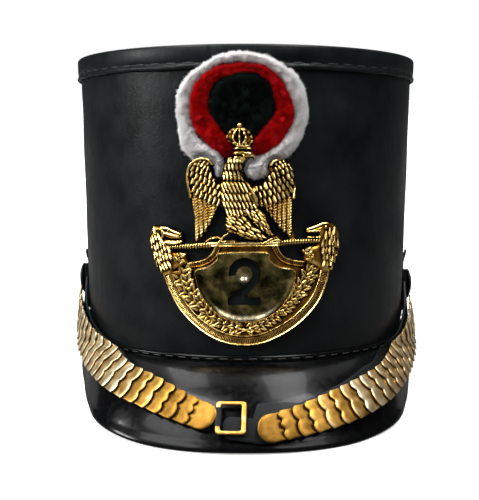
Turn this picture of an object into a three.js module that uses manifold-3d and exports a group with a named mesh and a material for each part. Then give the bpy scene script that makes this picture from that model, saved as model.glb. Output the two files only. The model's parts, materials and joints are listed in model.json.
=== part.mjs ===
// Shako hat: a flared leather tube with a peak, fur cockade, gilt eagle plate and brass chin scales.
// Millimetres. The hat is modelled upright, front towards -Y, bottom edge of the tube at height 0,
// and the whole group is then leant back, so that it rests on its peak and its back rim.

import * as THREE from "three";
import Module from "manifold-3d";

const wasm = await Module();
wasm.setup();
const { Manifold, CrossSection } = wasm;

const GAP = 0.3; // clearance between touching pieces

const BODY = {
  height: 172,
  radius: 100.5, // outside, at the bottom edge
  flare: 0.0205, // growth of the radius for each millimetre of height
  wall: 2.4,
  crownThickness: 2.6,
  segments: 54,
};

const BAND = { bottom: 159, thickness: 1.6, cornerRadius: 1.4 };

const PEAK = {
  seamHeight: 4, // top edge of the upright flange
  foldHeight: 1, // where the flange turns outwards
  thickness: 2.2,
  rimThickness: 3.8,
  rimStart: 0.93, // share of the profile where the rolled rim begins
  turn: 1.3, // the peak is sewn on slightly off the plate's centre line, in degrees
  columns: 34,
};

// Peak outline: how far the edge reaches past the tube, and how far it drops below the seam.
const PEAK_EDGE = [
  { azimuth: 0, reach: 36, drop: 42.5 },
  { azimuth: 15, reach: 36.5, drop: 42.3 },
  { azimuth: 25, reach: 36.5, drop: 40.8 },
  { azimuth: 34, reach: 34, drop: 38 },
  { azimuth: 41, reach: 29, drop: 35.6 },
  { azimuth: 49, reach: 20.5, drop: 32.3 },
  { azimuth: 60, reach: 11.5, drop: 27.2 },
  { azimuth: 68, reach: 8, drop: 22.3 },
  { azimuth: 75, reach: 6, drop: 18.5 },
  { azimuth: 82, reach: 4.2, drop: 14 },
  { azimuth: 88, reach: 3.2, drop: 9 },
  { azimuth: 94, reach: 2.8, drop: 4.6 },
];

// Chin scale routes, along the visible face of the scales, from the side of the hat to the front.
const LEFT_ROUTE = [
  { azimuth: -92, height: 43, radius: 109.2, lean: 0 },
  { azimuth: -91.5, height: 31, radius: 108.7, lean: 0 },
  { azimuth: -85, height: 21, radius: 108.8, lean: 2 },
  { azimuth: -78, height: 13.5, radius: 108.8, lean: 6 },
  { azimuth: -69, height: 8, radius: 108.6, lean: 12 },
  { azimuth: -59, height: 3.5, radius: 109.2, lean: 22 },
  { azimuth: -49.5, height: 0, radius: 111.4, lean: 32 },
  { azimuth: -41, height: -3, radius: 115.4, lean: 42 },
  { azimuth: -33, height: -6.3, radius: 119.8, lean: 46 },
  { azimuth: -24, height: -10.2, radius: 124.2, lean: 42 },
  { azimuth: -14.5, height: -16.4, radius: 129.2, lean: 36 },
  { azimuth: -5.6, height: -22.4, radius: 133, lean: 33 },
];
const RIGHT_ROUTE = [
  { azimuth: 93, height: 39, radius: 109.2, lean: 0 },
  { azimuth: 92.5, height: 28, radius: 108.7, lean: 0 },
  { azimuth: 86, height: 18, radius: 108.8, lean: 2 },
  { azimuth: 79, height: 10, radius: 109, lean: 6 },
  { azimuth: 69, height: 3.6, radius: 109, lean: 12 },
  { azimuth: 59.5, height: -1.4, radius: 110.4, lean: 24 },
  { azimuth: 50.5, height: -4.9, radius: 114.4, lean: 36 },
  { azimuth: 43, height: -7.6, radius: 119, lean: 44 },
  { azimuth: 34, height: -11.6, radius: 124.8, lean: 41 },
  { azimuth: 25.5, height: -16, radius: 129.4, lean: 37 },
  { azimuth: 18, height: -20, radius: 132.2, lean: 35 },
  { azimuth: 11.5, height: -23.3, radius: 134.3, lean: 32 },
  { azimuth: 4.2, height: -26, radius: 135.6, lean: 31 },
  { azimuth: -4.4, height: -24.4, radius: 134.6, lean: 32 },
];

// Half widths of each strap's leather, by the distance back from the tip of its last scale
const LEFT_LEATHER = [
  { fromTip: -3.2, low: 5, high: 5 },
  { fromTip: 1, low: 6, high: 6 },
  { fromTip: 20, low: 7.6, high: 8.6 },
  { fromTip: 62, low: 9.4, high: 11 },
  { fromTip: 170, low: 9, high: 9.6 },
];
const RIGHT_LEATHER = [
  { fromTip: -20, low: 6.2, high: 6.2 },
  { fromTip: -2.4, low: 6.4, high: 6.6 },
  { fromTip: -0.8, low: 7, high: 16.4 },
  { fromTip: 9, low: 7.4, high: 16.4 },
  { fromTip: 18, low: 7.8, high: 13.8 },
  { fromTip: 28, low: 8.4, high: 10.4 },
  { fromTip: 60, low: 9.4, high: 13 },
  { fromTip: 84, low: 9.4, high: 16.4 },
  { fromTip: 112, low: 9.4, high: 14 },
  { fromTip: 135, low: 9.2, high: 10.4 },
  { fromTip: 175, low: 9, high: 9.6 },
];

const SCALE = {
  pitch: 7.9,
  overlap: 3,
  thickness: 0.9,
  rise: 1.8, // how much higher the free edge lies than the root
  halfWidth: 10.4,
  tipHalfWidth: 7.6,
  taper: 62, // length over which the width falls towards the tip
  lobeDepth: 1.9,
  tongueReach: 12.4, // visible length of the last, rounded scale
  tongueDepth: 7,
  crown: 34, // radius of the curve across the scales
  firstStation: 22, // length of bare strap above the first scale
};

const STRAP = { thickness: 1.8, depth: 5.72, slack: 0.85, leftBeyondScales: 3.2, rightBeyondScales: 20 };

const BUCKLE = {
  azimuth: -2.6,
  height: -22.8,
  radius: 132.2,
  lean: 32,
  width: 16.2,
  length: 17.6,
  openingWidth: 10.8,
  openingLength: 13.8,
  thickness: 2.2,
  corner: 2.4,
};

const BOSS = { radius: 9.8, thickness: 3.3, station: 9.6 };
const TAB = { azimuth: 89, bottom: 10, top: 53, halfWidth: 4.4, thickness: 0.7, lean: 1.6 };

const POMPOM = { standoff: 2.3, backing: 2.2, lockSides: 5 };

const PLATE = { standoff: 0.6, topStandoff: 6, leanFrom: 92, leanTo: 130, sheet: 1.2, arcRadius: 103.5, facet: 14 };

const MATERIALS = {
  leather: new THREE.MeshStandardMaterial({ color: 0x1a1b1c, roughness: 0.5, metalness: 0 }),
  patent: new THREE.MeshStandardMaterial({ color: 0x0b0b0d, roughness: 0.15, metalness: 0 }),
  brass: new THREE.MeshStandardMaterial({ color: 0xc99a35, roughness: 0.3, metalness: 1 }),
  whiteFur: new THREE.MeshStandardMaterial({ color: 0xdcd8d6, roughness: 0.95, metalness: 0 }),
  redFur: new THREE.MeshStandardMaterial({ color: 0xb01012, roughness: 0.95, metalness: 0 }),
  greenFur: new THREE.MeshStandardMaterial({ color: 0x04201c, roughness: 0.95, metalness: 0 }),
};

const radians = (degrees) => THREE.MathUtils.degToRad(degrees);
const bodyRadius = (height) => BODY.radius + BODY.flare * height;

/** Point of the hat at an azimuth (0 is the front), a distance from its axis and a height. */
function polar(azimuth, radius, height) {
  const angle = radians(azimuth);
  return new THREE.Vector3(radius * Math.sin(angle), -radius * Math.cos(angle), height);
}

/** Smooth value of a column of a table at a place in its key column. */
function lookUp(rows, key, column, place) {
  const last = rows.length - 1;
  const inside = THREE.MathUtils.clamp(place, rows[0][key], rows[last][key]);
  const after = Math.max(1, rows.findIndex((row) => row[key] >= inside));
  const [before, next] = [rows[after - 1], rows[after]];
  const share = (inside - before[key]) / (next[key] - before[key]);
  const slope = (index) => {
    const [low, high] = [rows[Math.max(0, index - 1)], rows[Math.min(last, index + 1)]];
    return (high[column] - low[column]) / (high[key] - low[key]);
  };
  const width = next[key] - before[key];
  const [s2, s3] = [share ** 2, share ** 3];
  return (
    (2 * s3 - 3 * s2 + 1) * before[column] +
    (s3 - 2 * s2 + share) * width * slope(after - 1) +
    (3 * s2 - 2 * s3) * next[column] +
    (s3 - s2) * width * slope(after)
  );
}

/** Closed geometry from corner points and triangles, turned to face outwards. */
function closedGeometry(points, triangles) {
  let volume = 0;
  for (const [a, b, c] of triangles) {
    volume += points[a].dot(new THREE.Vector3().crossVectors(points[b], points[c]));
  }
  const faces = volume < 0 ? triangles.map(([a, b, c]) => [a, c, b]) : triangles;
  const geometry = new THREE.BufferGeometry().setFromPoints(points);
  geometry.setIndex(faces.flat());
  geometry.computeVertexNormals();
  return geometry;
}

/**
 * Solid sheet between two faces. at(column, row, face) gives a corner, with face 0 inside and
 * 1 outside, and around joins the last column to the first.
 */
function sheet(columns, rows, at, around = false) {
  const points = [];
  const triangles = [];
  const stripes = around ? columns : columns + 1;
  const index = (face, column, row) =>
    (face * stripes + (column % stripes)) * (rows + 1) + row;
  const quad = (a, b, c, d) => triangles.push([a, b, c], [a, c, d]);
  for (const face of [0, 1]) {
    for (let column = 0; column < stripes; column++) {
      for (let row = 0; row <= rows; row++) points.push(at(column, row, face));
    }
  }
  for (let column = 0; column < columns; column++) {
    for (let row = 0; row < rows; row++) {
      const corners = (face) => [
        index(face, column, row),
        index(face, column + 1, row),
        index(face, column + 1, row + 1),
        index(face, column, row + 1),
      ];
      quad(...corners(1));
      quad(...corners(0).reverse());
    }
    for (const [row, next] of [[0, 1], [rows, -1]]) {
      const [a, b] = next > 0 ? [column, column + 1] : [column + 1, column];
      quad(index(0, a, row), index(0, b, row), index(1, b, row), index(1, a, row));
    }
  }
  if (!around) {
    for (const column of [0, columns]) {
      for (let row = 0; row < rows; row++) {
        const [a, b] = column ? [row, row + 1] : [row + 1, row];
        quad(
          index(0, column, a),
          index(0, column, b),
          index(1, column, b),
          index(1, column, a),
        );
      }
    }
  }
  return closedGeometry(points, triangles);
}

/** Geometry of a manifold-3d solid. */
function geometryOf(solid) {
  const { vertProperties, triVerts, numProp, numVert } = solid.getMesh();
  const points = [];
  for (let i = 0; i < numVert; i++) {
    points.push(new THREE.Vector3(...vertProperties.subarray(i * numProp, i * numProp + 3)));
  }
  const geometry = new THREE.BufferGeometry().setFromPoints(points);
  geometry.setIndex([...triVerts]);
  geometry.computeVertexNormals();
  return geometry;
}

const hat = new THREE.Group();

/** Adds one named piece to the hat. */
function piece(name, geometry, material) {
  const mesh = new THREE.Mesh(geometry, material);
  mesh.name = name;
  hat.add(mesh);
  return mesh;
}

// The tube of the body, its top disc and the band stitched round its top

function addBody() {
  const top = BODY.height;
  const wallRows = [0, 80, BAND.bottom, top - 1, top];
  const wall = sheet(
    BODY.segments,
    wallRows.length - 1,
    (column, row, face) => {
      const height = wallRows[row];
      const rounding = row === wallRows.length - 1 && face === 1 ? 0.8 : 0;
      const radius = bodyRadius(height) - rounding - (face ? 0 : BODY.wall);
      return polar((column * 360) / BODY.segments, radius, height);
    },
    true,
  );
  piece("crown_wall", wall, MATERIALS.leather);

  const discRadius = bodyRadius(top) - BODY.wall - GAP;
  const disc = new THREE.CylinderGeometry(
    discRadius,
    discRadius - BODY.flare * BODY.crownThickness,
    BODY.crownThickness,
    BODY.segments,
  );
  disc.rotateX(Math.PI / 2);
  disc.translate(0, 0, top - BODY.crownThickness / 2);
  piece("crown_top", disc, MATERIALS.leather);

  const corner = BAND.cornerRadius;
  const bandRows = [
    { height: BAND.bottom, inset: 0 },
    { height: top - corner, inset: 0 },
    { height: top - 0.3 * corner, inset: 0.3 * corner },
    { height: top, inset: 0.9 * corner },
  ];
  const band = sheet(
    BODY.segments,
    bandRows.length - 1,
    (column, row, face) => {
      const { height, inset } = bandRows[row];
      const outer = bodyRadius(height) + GAP + BAND.thickness - inset;
      const radius = face ? outer : bodyRadius(height) + GAP;
      return polar((column * 360) / BODY.segments, radius, height);
    },
    true,
  );
  piece("top_band", band, MATERIALS.leather);
}

// The peak: an upright flange on the tube, a bowl that leans out from it and a rolled rim

/** Radius and height of the peak's outer face, at a share of the way from fold to edge. */
function peakFace(azimuth, share) {
  const turned = Math.abs(azimuth - PEAK.turn);
  const reach = lookUp(PEAK_EDGE, "azimuth", "reach", turned);
  const drop = lookUp(PEAK_EDGE, "azimuth", "drop", turned);
  const fold = new THREE.Vector2(bodyRadius(0) + GAP + PEAK.thickness, PEAK.foldHeight);
  const edge = new THREE.Vector2(BODY.radius + reach, PEAK.seamHeight - drop);
  const bend = new THREE.Vector2(
    THREE.MathUtils.lerp(fold.x, edge.x, 0.62),
    THREE.MathUtils.lerp(fold.y, edge.y, 0.25),
  );
  return new THREE.QuadraticBezierCurve(fold, bend, edge).getPoint(share);
}

function addPeak() {
  const shares = [0, 0.25, 0.5, 0.75, PEAK.rimStart, 0.96, 1];
  const roll = [0, 0, 0, 0, 0, 1, 0.6];
  const [first, last] = [PEAK_EDGE[0], PEAK_EDGE[PEAK_EDGE.length - 1]];
  const span = last.azimuth - first.azimuth;
  const innerRadius = bodyRadius(0) + GAP;
  const corner = (column, row, face) => {
    const azimuth = PEAK.turn - span + (2 * span * column) / PEAK.columns;
    if (row === 0) {
      return polar(azimuth, innerRadius + (face ? PEAK.thickness : 0.1), PEAK.seamHeight);
    }
    const share = shares[row - 1];
    const here = peakFace(azimuth, share);
    const ahead = peakFace(azimuth, Math.min(share + 0.02, 1));
    const behind = peakFace(azimuth, Math.max(share - 0.02, 0));
    const along = ahead.sub(behind).normalize();
    const outwards = new THREE.Vector2(-along.y, along.x);
    const extra = ((PEAK.rimThickness - PEAK.thickness) / 2) * roll[row - 1];
    const depth = face ? extra : -PEAK.thickness - extra;
    if (row === 1 && !face) return polar(azimuth, innerRadius, PEAK.foldHeight);
    const place = here.addScaledVector(outwards, depth);
    return polar(azimuth, Math.max(place.x, face ? 0 : BODY.radius - 2.5), place.y);
  };
  piece("peak", sheet(PEAK.columns, shares.length, corner), MATERIALS.patent);
}

/** Outside radius of tube or peak at a place, eased over the flange, for what lies on them. */
function outerRadius(azimuth, height) {
  if (height > PEAK.foldHeight) {
    const flange = bodyRadius(0) + GAP + PEAK.thickness;
    const eased = THREE.MathUtils.smoothstep(height, PEAK.seamHeight, PEAK.seamHeight + 14);
    return THREE.MathUtils.lerp(flange, bodyRadius(height), eased);
  }
  let above = peakFace(azimuth, 0);
  for (let share = 0.05; share <= 1.001; share += 0.05) {
    const below = peakFace(azimuth, share);
    if (height >= below.y) {
      const part = (above.y - height) / (above.y - below.y);
      return THREE.MathUtils.lerp(above.x, below.x, part);
    }
    above = below;
  }
  return above.x;
}

// Straps and scales follow a route over the tube and the peak

/** A route's curve, with the frame of the strap at each distance along it. */
class Route {
  constructor(rows, beyondScales) {
    this.rows = rows;
    this.side = Math.sign(rows[0].azimuth);
    this.curve = new THREE.CatmullRomCurve3(
      rows.map(({ azimuth, radius, height }) => polar(azimuth, radius, height)),
      false,
      "centripetal",
    );
    this.length = this.curve.getLength();
    this.tip = this.length - beyondScales;
  }

  /** Place, outward normal and upper-side direction at a distance from the start. */
  frame(station) {
    const share = THREE.MathUtils.clamp(station / this.length, 0, 1);
    const place = this.curve.getPointAt(share);
    const along = this.curve.getTangentAt(share);
    const steps = this.curve.getUtoTmapping(share) * (this.rows.length - 1);
    const row = Math.min(Math.floor(steps), this.rows.length - 2);
    const mix = steps - row;
    const lean = THREE.MathUtils.lerp(this.rows[row].lean, this.rows[row + 1].lean, mix);
    const azimuth = THREE.MathUtils.radToDeg(Math.atan2(place.x, -place.y));
    const level = polar(azimuth, 1, 0);
    const outwards = level.multiplyScalar(Math.cos(radians(lean)));
    outwards.z = Math.sin(radians(lean));
    outwards.addScaledVector(along, -outwards.dot(along)).normalize();
    const upper = new THREE.Vector3().crossVectors(outwards, along);
    upper.multiplyScalar(-this.side);
    return { place, along, outwards, upper };
  }

  /** Point over the route: across towards the upper side, and depth below the visible face. */
  point(station, across, depth, crown) {
    const { place, along, outwards, upper } = this.frame(station);
    const beyond = station - THREE.MathUtils.clamp(station, 0, this.length);
    const sag = (across * across) / (2 * crown);
    const raised = (down) =>
      place
        .clone()
        .addScaledVector(along, beyond)
        .addScaledVector(upper, across)
        .addScaledVector(outwards, -down - sag);
    const inner = raised(STRAP.depth);
    const azimuth = THREE.MathUtils.radToDeg(Math.atan2(inner.x, -inner.y));
    const clear = outerRadius(azimuth, inner.z) + GAP + STRAP.slack;
    const short = Math.max(0, clear - Math.hypot(inner.x, inner.y));
    return raised(depth).add(polar(azimuth, short, 0));
  }
}

/** Half the width of the scales at a distance from the tip of their row. */
function scaleHalfWidth(fromTip) {
  const share = THREE.MathUtils.smoothstep(fromTip, 0, SCALE.taper);
  return THREE.MathUtils.lerp(SCALE.tipHalfWidth, SCALE.halfWidth, share);
}

/** One chin scale, whose lobed free edge lies over the root of the next one. */
function scaleGeometry(route, root, reach, lobes) {
  const cells = 6;
  const half = scaleHalfWidth(route.tip - root - reach / 2);
  const lobeDepth = lobes > 1 ? SCALE.lobeDepth : SCALE.tongueDepth;
  const corner = (column, row, face) => {
    const across = -half + (2 * half * column) / cells;
    const wave = Math.abs(Math.sin((Math.PI * lobes * column) / cells));
    const free = row === 1;
    const dip = free ? lobeDepth * (1 - wave) : 0;
    const narrow = free ? 1 : 0.94;
    const station = root + (free ? reach - dip : 0);
    const rise = free ? SCALE.rise * (1 - dip / reach) : 0;
    const depth = SCALE.rise + (face ? 0 : SCALE.thickness) - rise;
    return route.point(station, across * narrow, depth, SCALE.crown);
  };
  return sheet(cells, 1, corner);
}

/** Leather backing of a route's scales, from the side boss to past the last scale. */
function strapGeometry(route, leather) {
  const spacing = 7;
  const even = Array.from({ length: Math.ceil(route.length / spacing) }, (_, i) => i * spacing);
  const steps = leather.map(({ fromTip }) => route.tip - fromTip);
  const near = (station) => steps.some((step) => Math.abs(step - station) < 0.6 * spacing);
  const inside = steps.filter((step) => step > 1 && step < route.length - 1);
  const stations = [0, ...even.slice(1).filter((station) => !near(station)), ...inside, route.length];
  stations.sort((a, b) => a - b);
  const cells = 2;
  const corner = (column, row, face) => {
    const station = stations[column];
    const after = leather.findIndex(({ fromTip }) => fromTip >= route.tip - station - 1e-6);
    const next = leather[after < 0 ? leather.length - 1 : after];
    const before = leather[Math.max(0, (after < 0 ? leather.length : after) - 1)];
    const width = next.fromTip - before.fromTip || 1;
    const share = THREE.MathUtils.clamp((route.tip - station - before.fromTip) / width, 0, 1);
    const low = THREE.MathUtils.lerp(before.low, next.low, share);
    const high = THREE.MathUtils.lerp(before.high, next.high, share);
    const across = THREE.MathUtils.lerp(-low, high, row / cells);
    const depth = STRAP.depth - (face ? STRAP.thickness : 0);
    return route.point(station, across, depth, SCALE.crown);
  };
  return sheet(stations.length - 1, cells, corner);
}

function addScales(side, rows, leather, beyondScales) {
  const route = new Route(rows, beyondScales);
  const plain = route.tip - SCALE.firstStation - SCALE.tongueReach;
  const count = Math.floor(plain / SCALE.pitch) + 1;
  for (let i = 0; i < count; i++) {
    const fromTip = count - 1 - i;
    const visible = fromTip ? SCALE.pitch : SCALE.tongueReach;
    const free = fromTip ? SCALE.tongueReach + (fromTip - 1) * SCALE.pitch : 0;
    const reach = visible + SCALE.overlap;
    const lobes = fromTip === 0 ? 1 : fromTip % 2 ? 3 : 2;
    const name = `scale_${side}_${String(i + 1).padStart(2, "0")}`;
    piece(name, scaleGeometry(route, route.tip - free - reach, reach, lobes), MATERIALS.brass);
  }
  piece(`strap_${side}`, strapGeometry(route, leather), MATERIALS.leather);
  return route;
}

/** Turns a flat geometry's X, Y and Z to a frame's across, up and outward directions. */
function seat(geometry, place, across, up, outwards) {
  const turn = new THREE.Matrix4().makeBasis(across, up, outwards).setPosition(place);
  return geometry.applyMatrix4(turn);
}

/** Outline of a rectangle with round corners, as a shape or a hole path. */
function roundedRectangle(path, width, length, corner) {
  const [x, y] = [width / 2, length / 2];
  path.moveTo(-x + corner, -y);
  path.lineTo(x - corner, -y);
  path.absarc(x - corner, -y + corner, corner, -Math.PI / 2, 0);
  path.lineTo(x, y - corner);
  path.absarc(x - corner, y - corner, corner, 0, Math.PI / 2);
  path.lineTo(-x + corner, y);
  path.absarc(-x + corner, y - corner, corner, Math.PI / 2, Math.PI);
  path.lineTo(-x, -y + corner);
  path.absarc(-x + corner, -y + corner, corner, Math.PI, 1.5 * Math.PI);
  return path;
}

function addBuckle() {
  const { width, length, openingWidth, openingLength, thickness, corner } = BUCKLE;
  const outline = roundedRectangle(new THREE.Shape(), width, length, corner);
  outline.holes.push(roundedRectangle(new THREE.Path(), openingWidth, openingLength, 1));
  const frame = new THREE.ExtrudeGeometry(outline, {
    depth: thickness,
    bevelEnabled: false,
    curveSegments: 2,
  });
  const lean = radians(BUCKLE.lean);
  const level = polar(BUCKLE.azimuth, 1, 0);
  const outwards = level.clone().multiplyScalar(Math.cos(lean));
  outwards.z = Math.sin(lean);
  const up = level.clone().multiplyScalar(-Math.sin(lean));
  up.z = Math.cos(lean);
  const across = new THREE.Vector3().crossVectors(up, outwards);
  const place = polar(BUCKLE.azimuth, BUCKLE.radius, BUCKLE.height);
  piece("buckle", seat(frame, place, across, up, outwards), MATERIALS.brass);
}

/** Low domed disc that fastens the top of a strap at the side of the hat. */
function addBoss(side, route) {
  const { radius, thickness } = BOSS;
  const profile = [
    new THREE.Vector2(0, 0),
    new THREE.Vector2(radius, 0),
    new THREE.Vector2(radius, 0.3 * thickness),
    new THREE.Vector2(0.75 * radius, 0.75 * thickness),
    new THREE.Vector2(0.4 * radius, thickness),
    new THREE.Vector2(0, thickness),
  ];
  const boss = new THREE.LatheGeometry(profile, 14);
  boss.rotateX(Math.PI / 2);
  const { along, outwards, upper } = route.frame(BOSS.station);
  const foot = route.point(BOSS.station, 0, STRAP.depth - STRAP.thickness - GAP - 0.35, SCALE.crown);
  const up = along.clone().negate();
  const across = new THREE.Vector3().crossVectors(up, outwards);
  piece(`boss_${side}`, seat(boss, foot, across, up, outwards), MATERIALS.leather);
  return upper;
}

function addTab(side) {
  const sign = side === "left" ? -1 : 1;
  const rows = 3;
  const columns = 4;
  const corner = (column, row, face) => {
    const height = [TAB.bottom, 28, 46, TAB.top][row];
    const off = GAP + TAB.lean * (row === rows ? 1 : 0);
    const radius = bodyRadius(height) + off + (face ? TAB.thickness : 0);
    const width = row === rows ? 0.8 * TAB.halfWidth : TAB.halfWidth;
    const offset = THREE.MathUtils.radToDeg(
      THREE.MathUtils.lerp(-width, width, column / columns) / radius,
    );
    return polar(sign * TAB.azimuth + offset, radius, height);
  };
  piece(`tab_${side}`, sheet(columns, rows, corner), MATERIALS.leather);
}

// The cockade and the plate are drawn unrolled, then bent round the tube

/** Bends an unrolled solid, X along the arc and Y up, round the tube at a distance from it. */
function wrapped(solid, standoff) {
  return solid.refineToLength(PLATE.facet).warp((point) => {
    const [arc, height, depth] = point;
    const radius = bodyRadius(height) + standoff(height) + depth;
    const angle = arc / PLATE.arcRadius;
    point[0] = radius * Math.sin(angle);
    point[1] = -radius * Math.cos(angle);
    point[2] = height;
  });
}

/** Points of an arc from one angle to another, in degrees. */
function arcPoints(x, y, radius, from, to, steps) {
  const points = [];
  for (let i = 0; i <= steps; i++) {
    const angle = radians(from + ((to - from) * i) / steps);
    points.push([x + radius * Math.cos(angle), y + radius * Math.sin(angle)]);
  }
  return points;
}

/** Cross section of one closed outline, whichever way round it is drawn. */
function area(points) {
  return new CrossSection([points], "NonZero").add(new CrossSection([[...points].reverse()], "NonZero"));
}

/** Solid of fused locks on a backing: rings holds the locks' rows from the inside out. */
function furSolid({ x, y, inner, outer, from, to, rings, depth }) {
  const steps = 20;
  const hollow = inner > 0;
  const outline = hollow
    ? [
        ...arcPoints(x, y, outer, from, to, steps),
        ...arcPoints(x, y, inner, to, from, steps),
      ]
    : arcPoints(x, y, outer, 0, 342, 19);
  let solid = area(outline).extrude(POMPOM.backing);
  for (const { radius, count, length, base, lean } of rings) {
    for (let i = 0; i < count; i++) {
      const share = hollow ? (i + 0.5) / count : i / count;
      const angle = hollow ? from + (to - from) * share : 360 * share;
      const lift = 1 + 0.12 * Math.sin(2.4 * i);
      const lock = Manifold.cylinder(length * lift, base, 0.45 * base, POMPOM.lockSides)
        .rotate([0, 0, 37 * i])
        .rotate([0, lean + 6 * Math.sin(1.7 * i), 0])
        .rotate([0, 0, angle])
        .translate([
          x + radius * Math.cos(radians(angle)),
          y + radius * Math.sin(radians(angle)),
          0.25 * depth,
        ]);
      solid = solid.add(lock);
    }
  }
  return solid.subtract(Manifold.cube([400, 400, 20], true).translate([0, 0, -10]));
}

const COCKADE = [
  {
    name: "pompom_centre",
    material: "greenFur",
    form: { x: -0.6, y: 140.4, inner: 0, outer: 15, from: 0, to: 360, depth: 2 },
    rings: [
      { radius: 0, count: 1, length: 11, base: 5.8, lean: 0 },
      { radius: 6.6, count: 6, length: 9.5, base: 4.8, lean: 12 },
      { radius: 12, count: 11, length: 6.8, base: 4.3, lean: 30 },
    ],
    clearBelow: 130.5,
  },
  {
    name: "pompom_ring_red",
    material: "redFur",
    form: { x: -0.6, y: 137.4, inner: 18.6, outer: 25, from: -55, to: 235, depth: 2 },
    rings: [
      { radius: 21.6, count: 16, length: 8, base: 4.4, lean: 10 },
    ],
    clearBelow: 114,
  },
  {
    name: "pompom_ring_white",
    material: "whiteFur",
    form: { x: -0.8, y: 135, inner: 28.2, outer: 32.6, from: -38, to: 218, depth: 2 },
    rings: [
      { radius: 30.2, count: 21, length: 7.4, base: 4.6, lean: 14 },
    ],
    clearBelow: 114,
  },
];

function addCockade() {
  let taken = null;
  for (const { name, material, form, rings, clearBelow } of COCKADE) {
    const below = Manifold.cube([30, 60, 60], true).translate([-2, clearBelow - 30, 0]);
    const wings = Manifold.cube([120, 60, 60], true).translate([0, 84, 0]);
    let solid = furSolid({ ...form, rings }).subtract(below).subtract(wings);
    if (taken) solid = solid.subtract(taken);
    const spread = area(arcPoints(form.x, form.y, form.outer + 2.4, 0, 342, 19));
    taken = spread.extrude(40).translate([0, 0, -5]);
    const [largest] = solid.decompose().sort((a, b) => b.volume() - a.volume());
    piece(name, geometryOf(wrapped(largest, () => POMPOM.standoff)), MATERIALS[material]);
  }
}

// Shield outline, as half widths about its centre line
const SHIELD_HALF = [
  { height: 50, half: 48.5 },
  { height: 42, half: 46.3 },
  { height: 34, half: 42 },
  { height: 26, half: 35.8 },
  { height: 18.5, half: 26 },
  { height: 12.6, half: 13.5 },
  { height: 9.6, half: 3 },
];
const FIELD_HALF = [
  { height: 59.6, half: 12 },
  { height: 55, half: 17 },
  { height: 51.6, half: 24 },
  { height: 50, half: 27.4 },
  { height: 42, half: 25.4 },
  { height: 34, half: 19.6 },
  { height: 27.6, half: 11 },
  { height: 24.6, half: 3 },
];
const SHIELD_CENTRE = 1;

// Outlines of the stamped figures, left to right and bottom to top on the unrolled plate
const FIGURES = {
  crown: [[-9.4, 116], [-9.6, 123], [-6, 126.4], [-2.2, 129.6], [2, 126.4], [5.2, 123], [5, 116]],
  head: [[-9.6, 108], [-9.6, 116.4], [2, 117.4], [5.6, 115.4], [8.4, 113], [6.4, 110.6], [2.6, 108]],
  breast: [
    [-9.8, 109], [-11, 100], [-12.4, 92], [-12, 84], [-9, 76], [-5, 66],
    [9, 66], [12, 74], [13.4, 82], [11, 92], [8.6, 99], [4, 109],
  ],
  leftWing: [
    [-11, 98], [-13.6, 103], [-15, 107.6], [-19.8, 112], [-25, 110], [-30, 103.6], [-30.2, 96],
    [-28.8, 87], [-27.4, 78], [-26.6, 68], [-21.6, 70.4], [-17.6, 76.4], [-14.6, 82], [-11, 85],
  ],
  rightWing: [
    [9, 97], [12.4, 103], [14, 108], [18.6, 111.2], [23.4, 108.6], [26.8, 102], [28, 95],
    [27.6, 86], [27.2, 78], [27, 68.6], [22.4, 72.6], [18.4, 77.4], [14.4, 84], [10, 87],
  ],
  leftLeg: [[-11, 84], [-12.6, 75], [-15, 65], [-9, 65], [-6, 72], [-3, 74], [-3, 84]],
  rightLeg: [[4, 84], [5, 74], [9, 65], [16, 65], [16.2, 72], [13.6, 79], [11, 84]],
  bolt: [
    [-43, 62.4], [-36, 66.6], [-26, 68], [-14.6, 67.4], [14.6, 67.4], [26, 69], [36, 69.6],
    [43, 67], [36, 64.4], [26, 63.6], [14.6, 63], [-14.6, 62.6], [-26, 61.4], [-36, 60.4],
  ],
  leftHead: [
    [-47.5, 50], [-50, 56], [-53, 62], [-54, 68], [-52.4, 73.4], [-47, 76], [-41, 76],
    [-35.4, 74.6], [-32.6, 71.4], [-33, 66], [-34.6, 62], [-33.4, 57], [-38, 50],
  ],
  rightHead: [
    [49.5, 50], [51.6, 56], [53.4, 63], [54, 71], [51, 76], [45, 78], [38, 76], [33.6, 73],
    [34.6, 69.4], [36, 66], [34.8, 61], [34, 57], [40, 50],
  ],
};

/** Outline of a shape from its half widths, upwards on the right and down on the left. */
function halfOutline(rows, centre) {
  const right = [...rows].reverse().map(({ height, half }) => [centre + half, height]);
  const left = rows.map(({ height, half }) => [centre - half, height]);
  return area([...right, ...left]);
}

/** The numeral 2 that is cut through the shield. */
function numeralTwo() {
  const [x, y, outer, stroke] = [0.6, 49.4, 8.8, 4.8];
  const inner = outer - stroke;
  return area([
    ...arcPoints(x, y, outer, 185, -32, 14),
    [x - 0.6, 37.6],
    [x + 8.6, 37.6],
    [x + 8.6, 32.4],
    [x - 8.8, 32.4],
    [x - 8.8, 37],
    ...arcPoints(x, y, inner, -32, 185, 10),
  ]);
}

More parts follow.
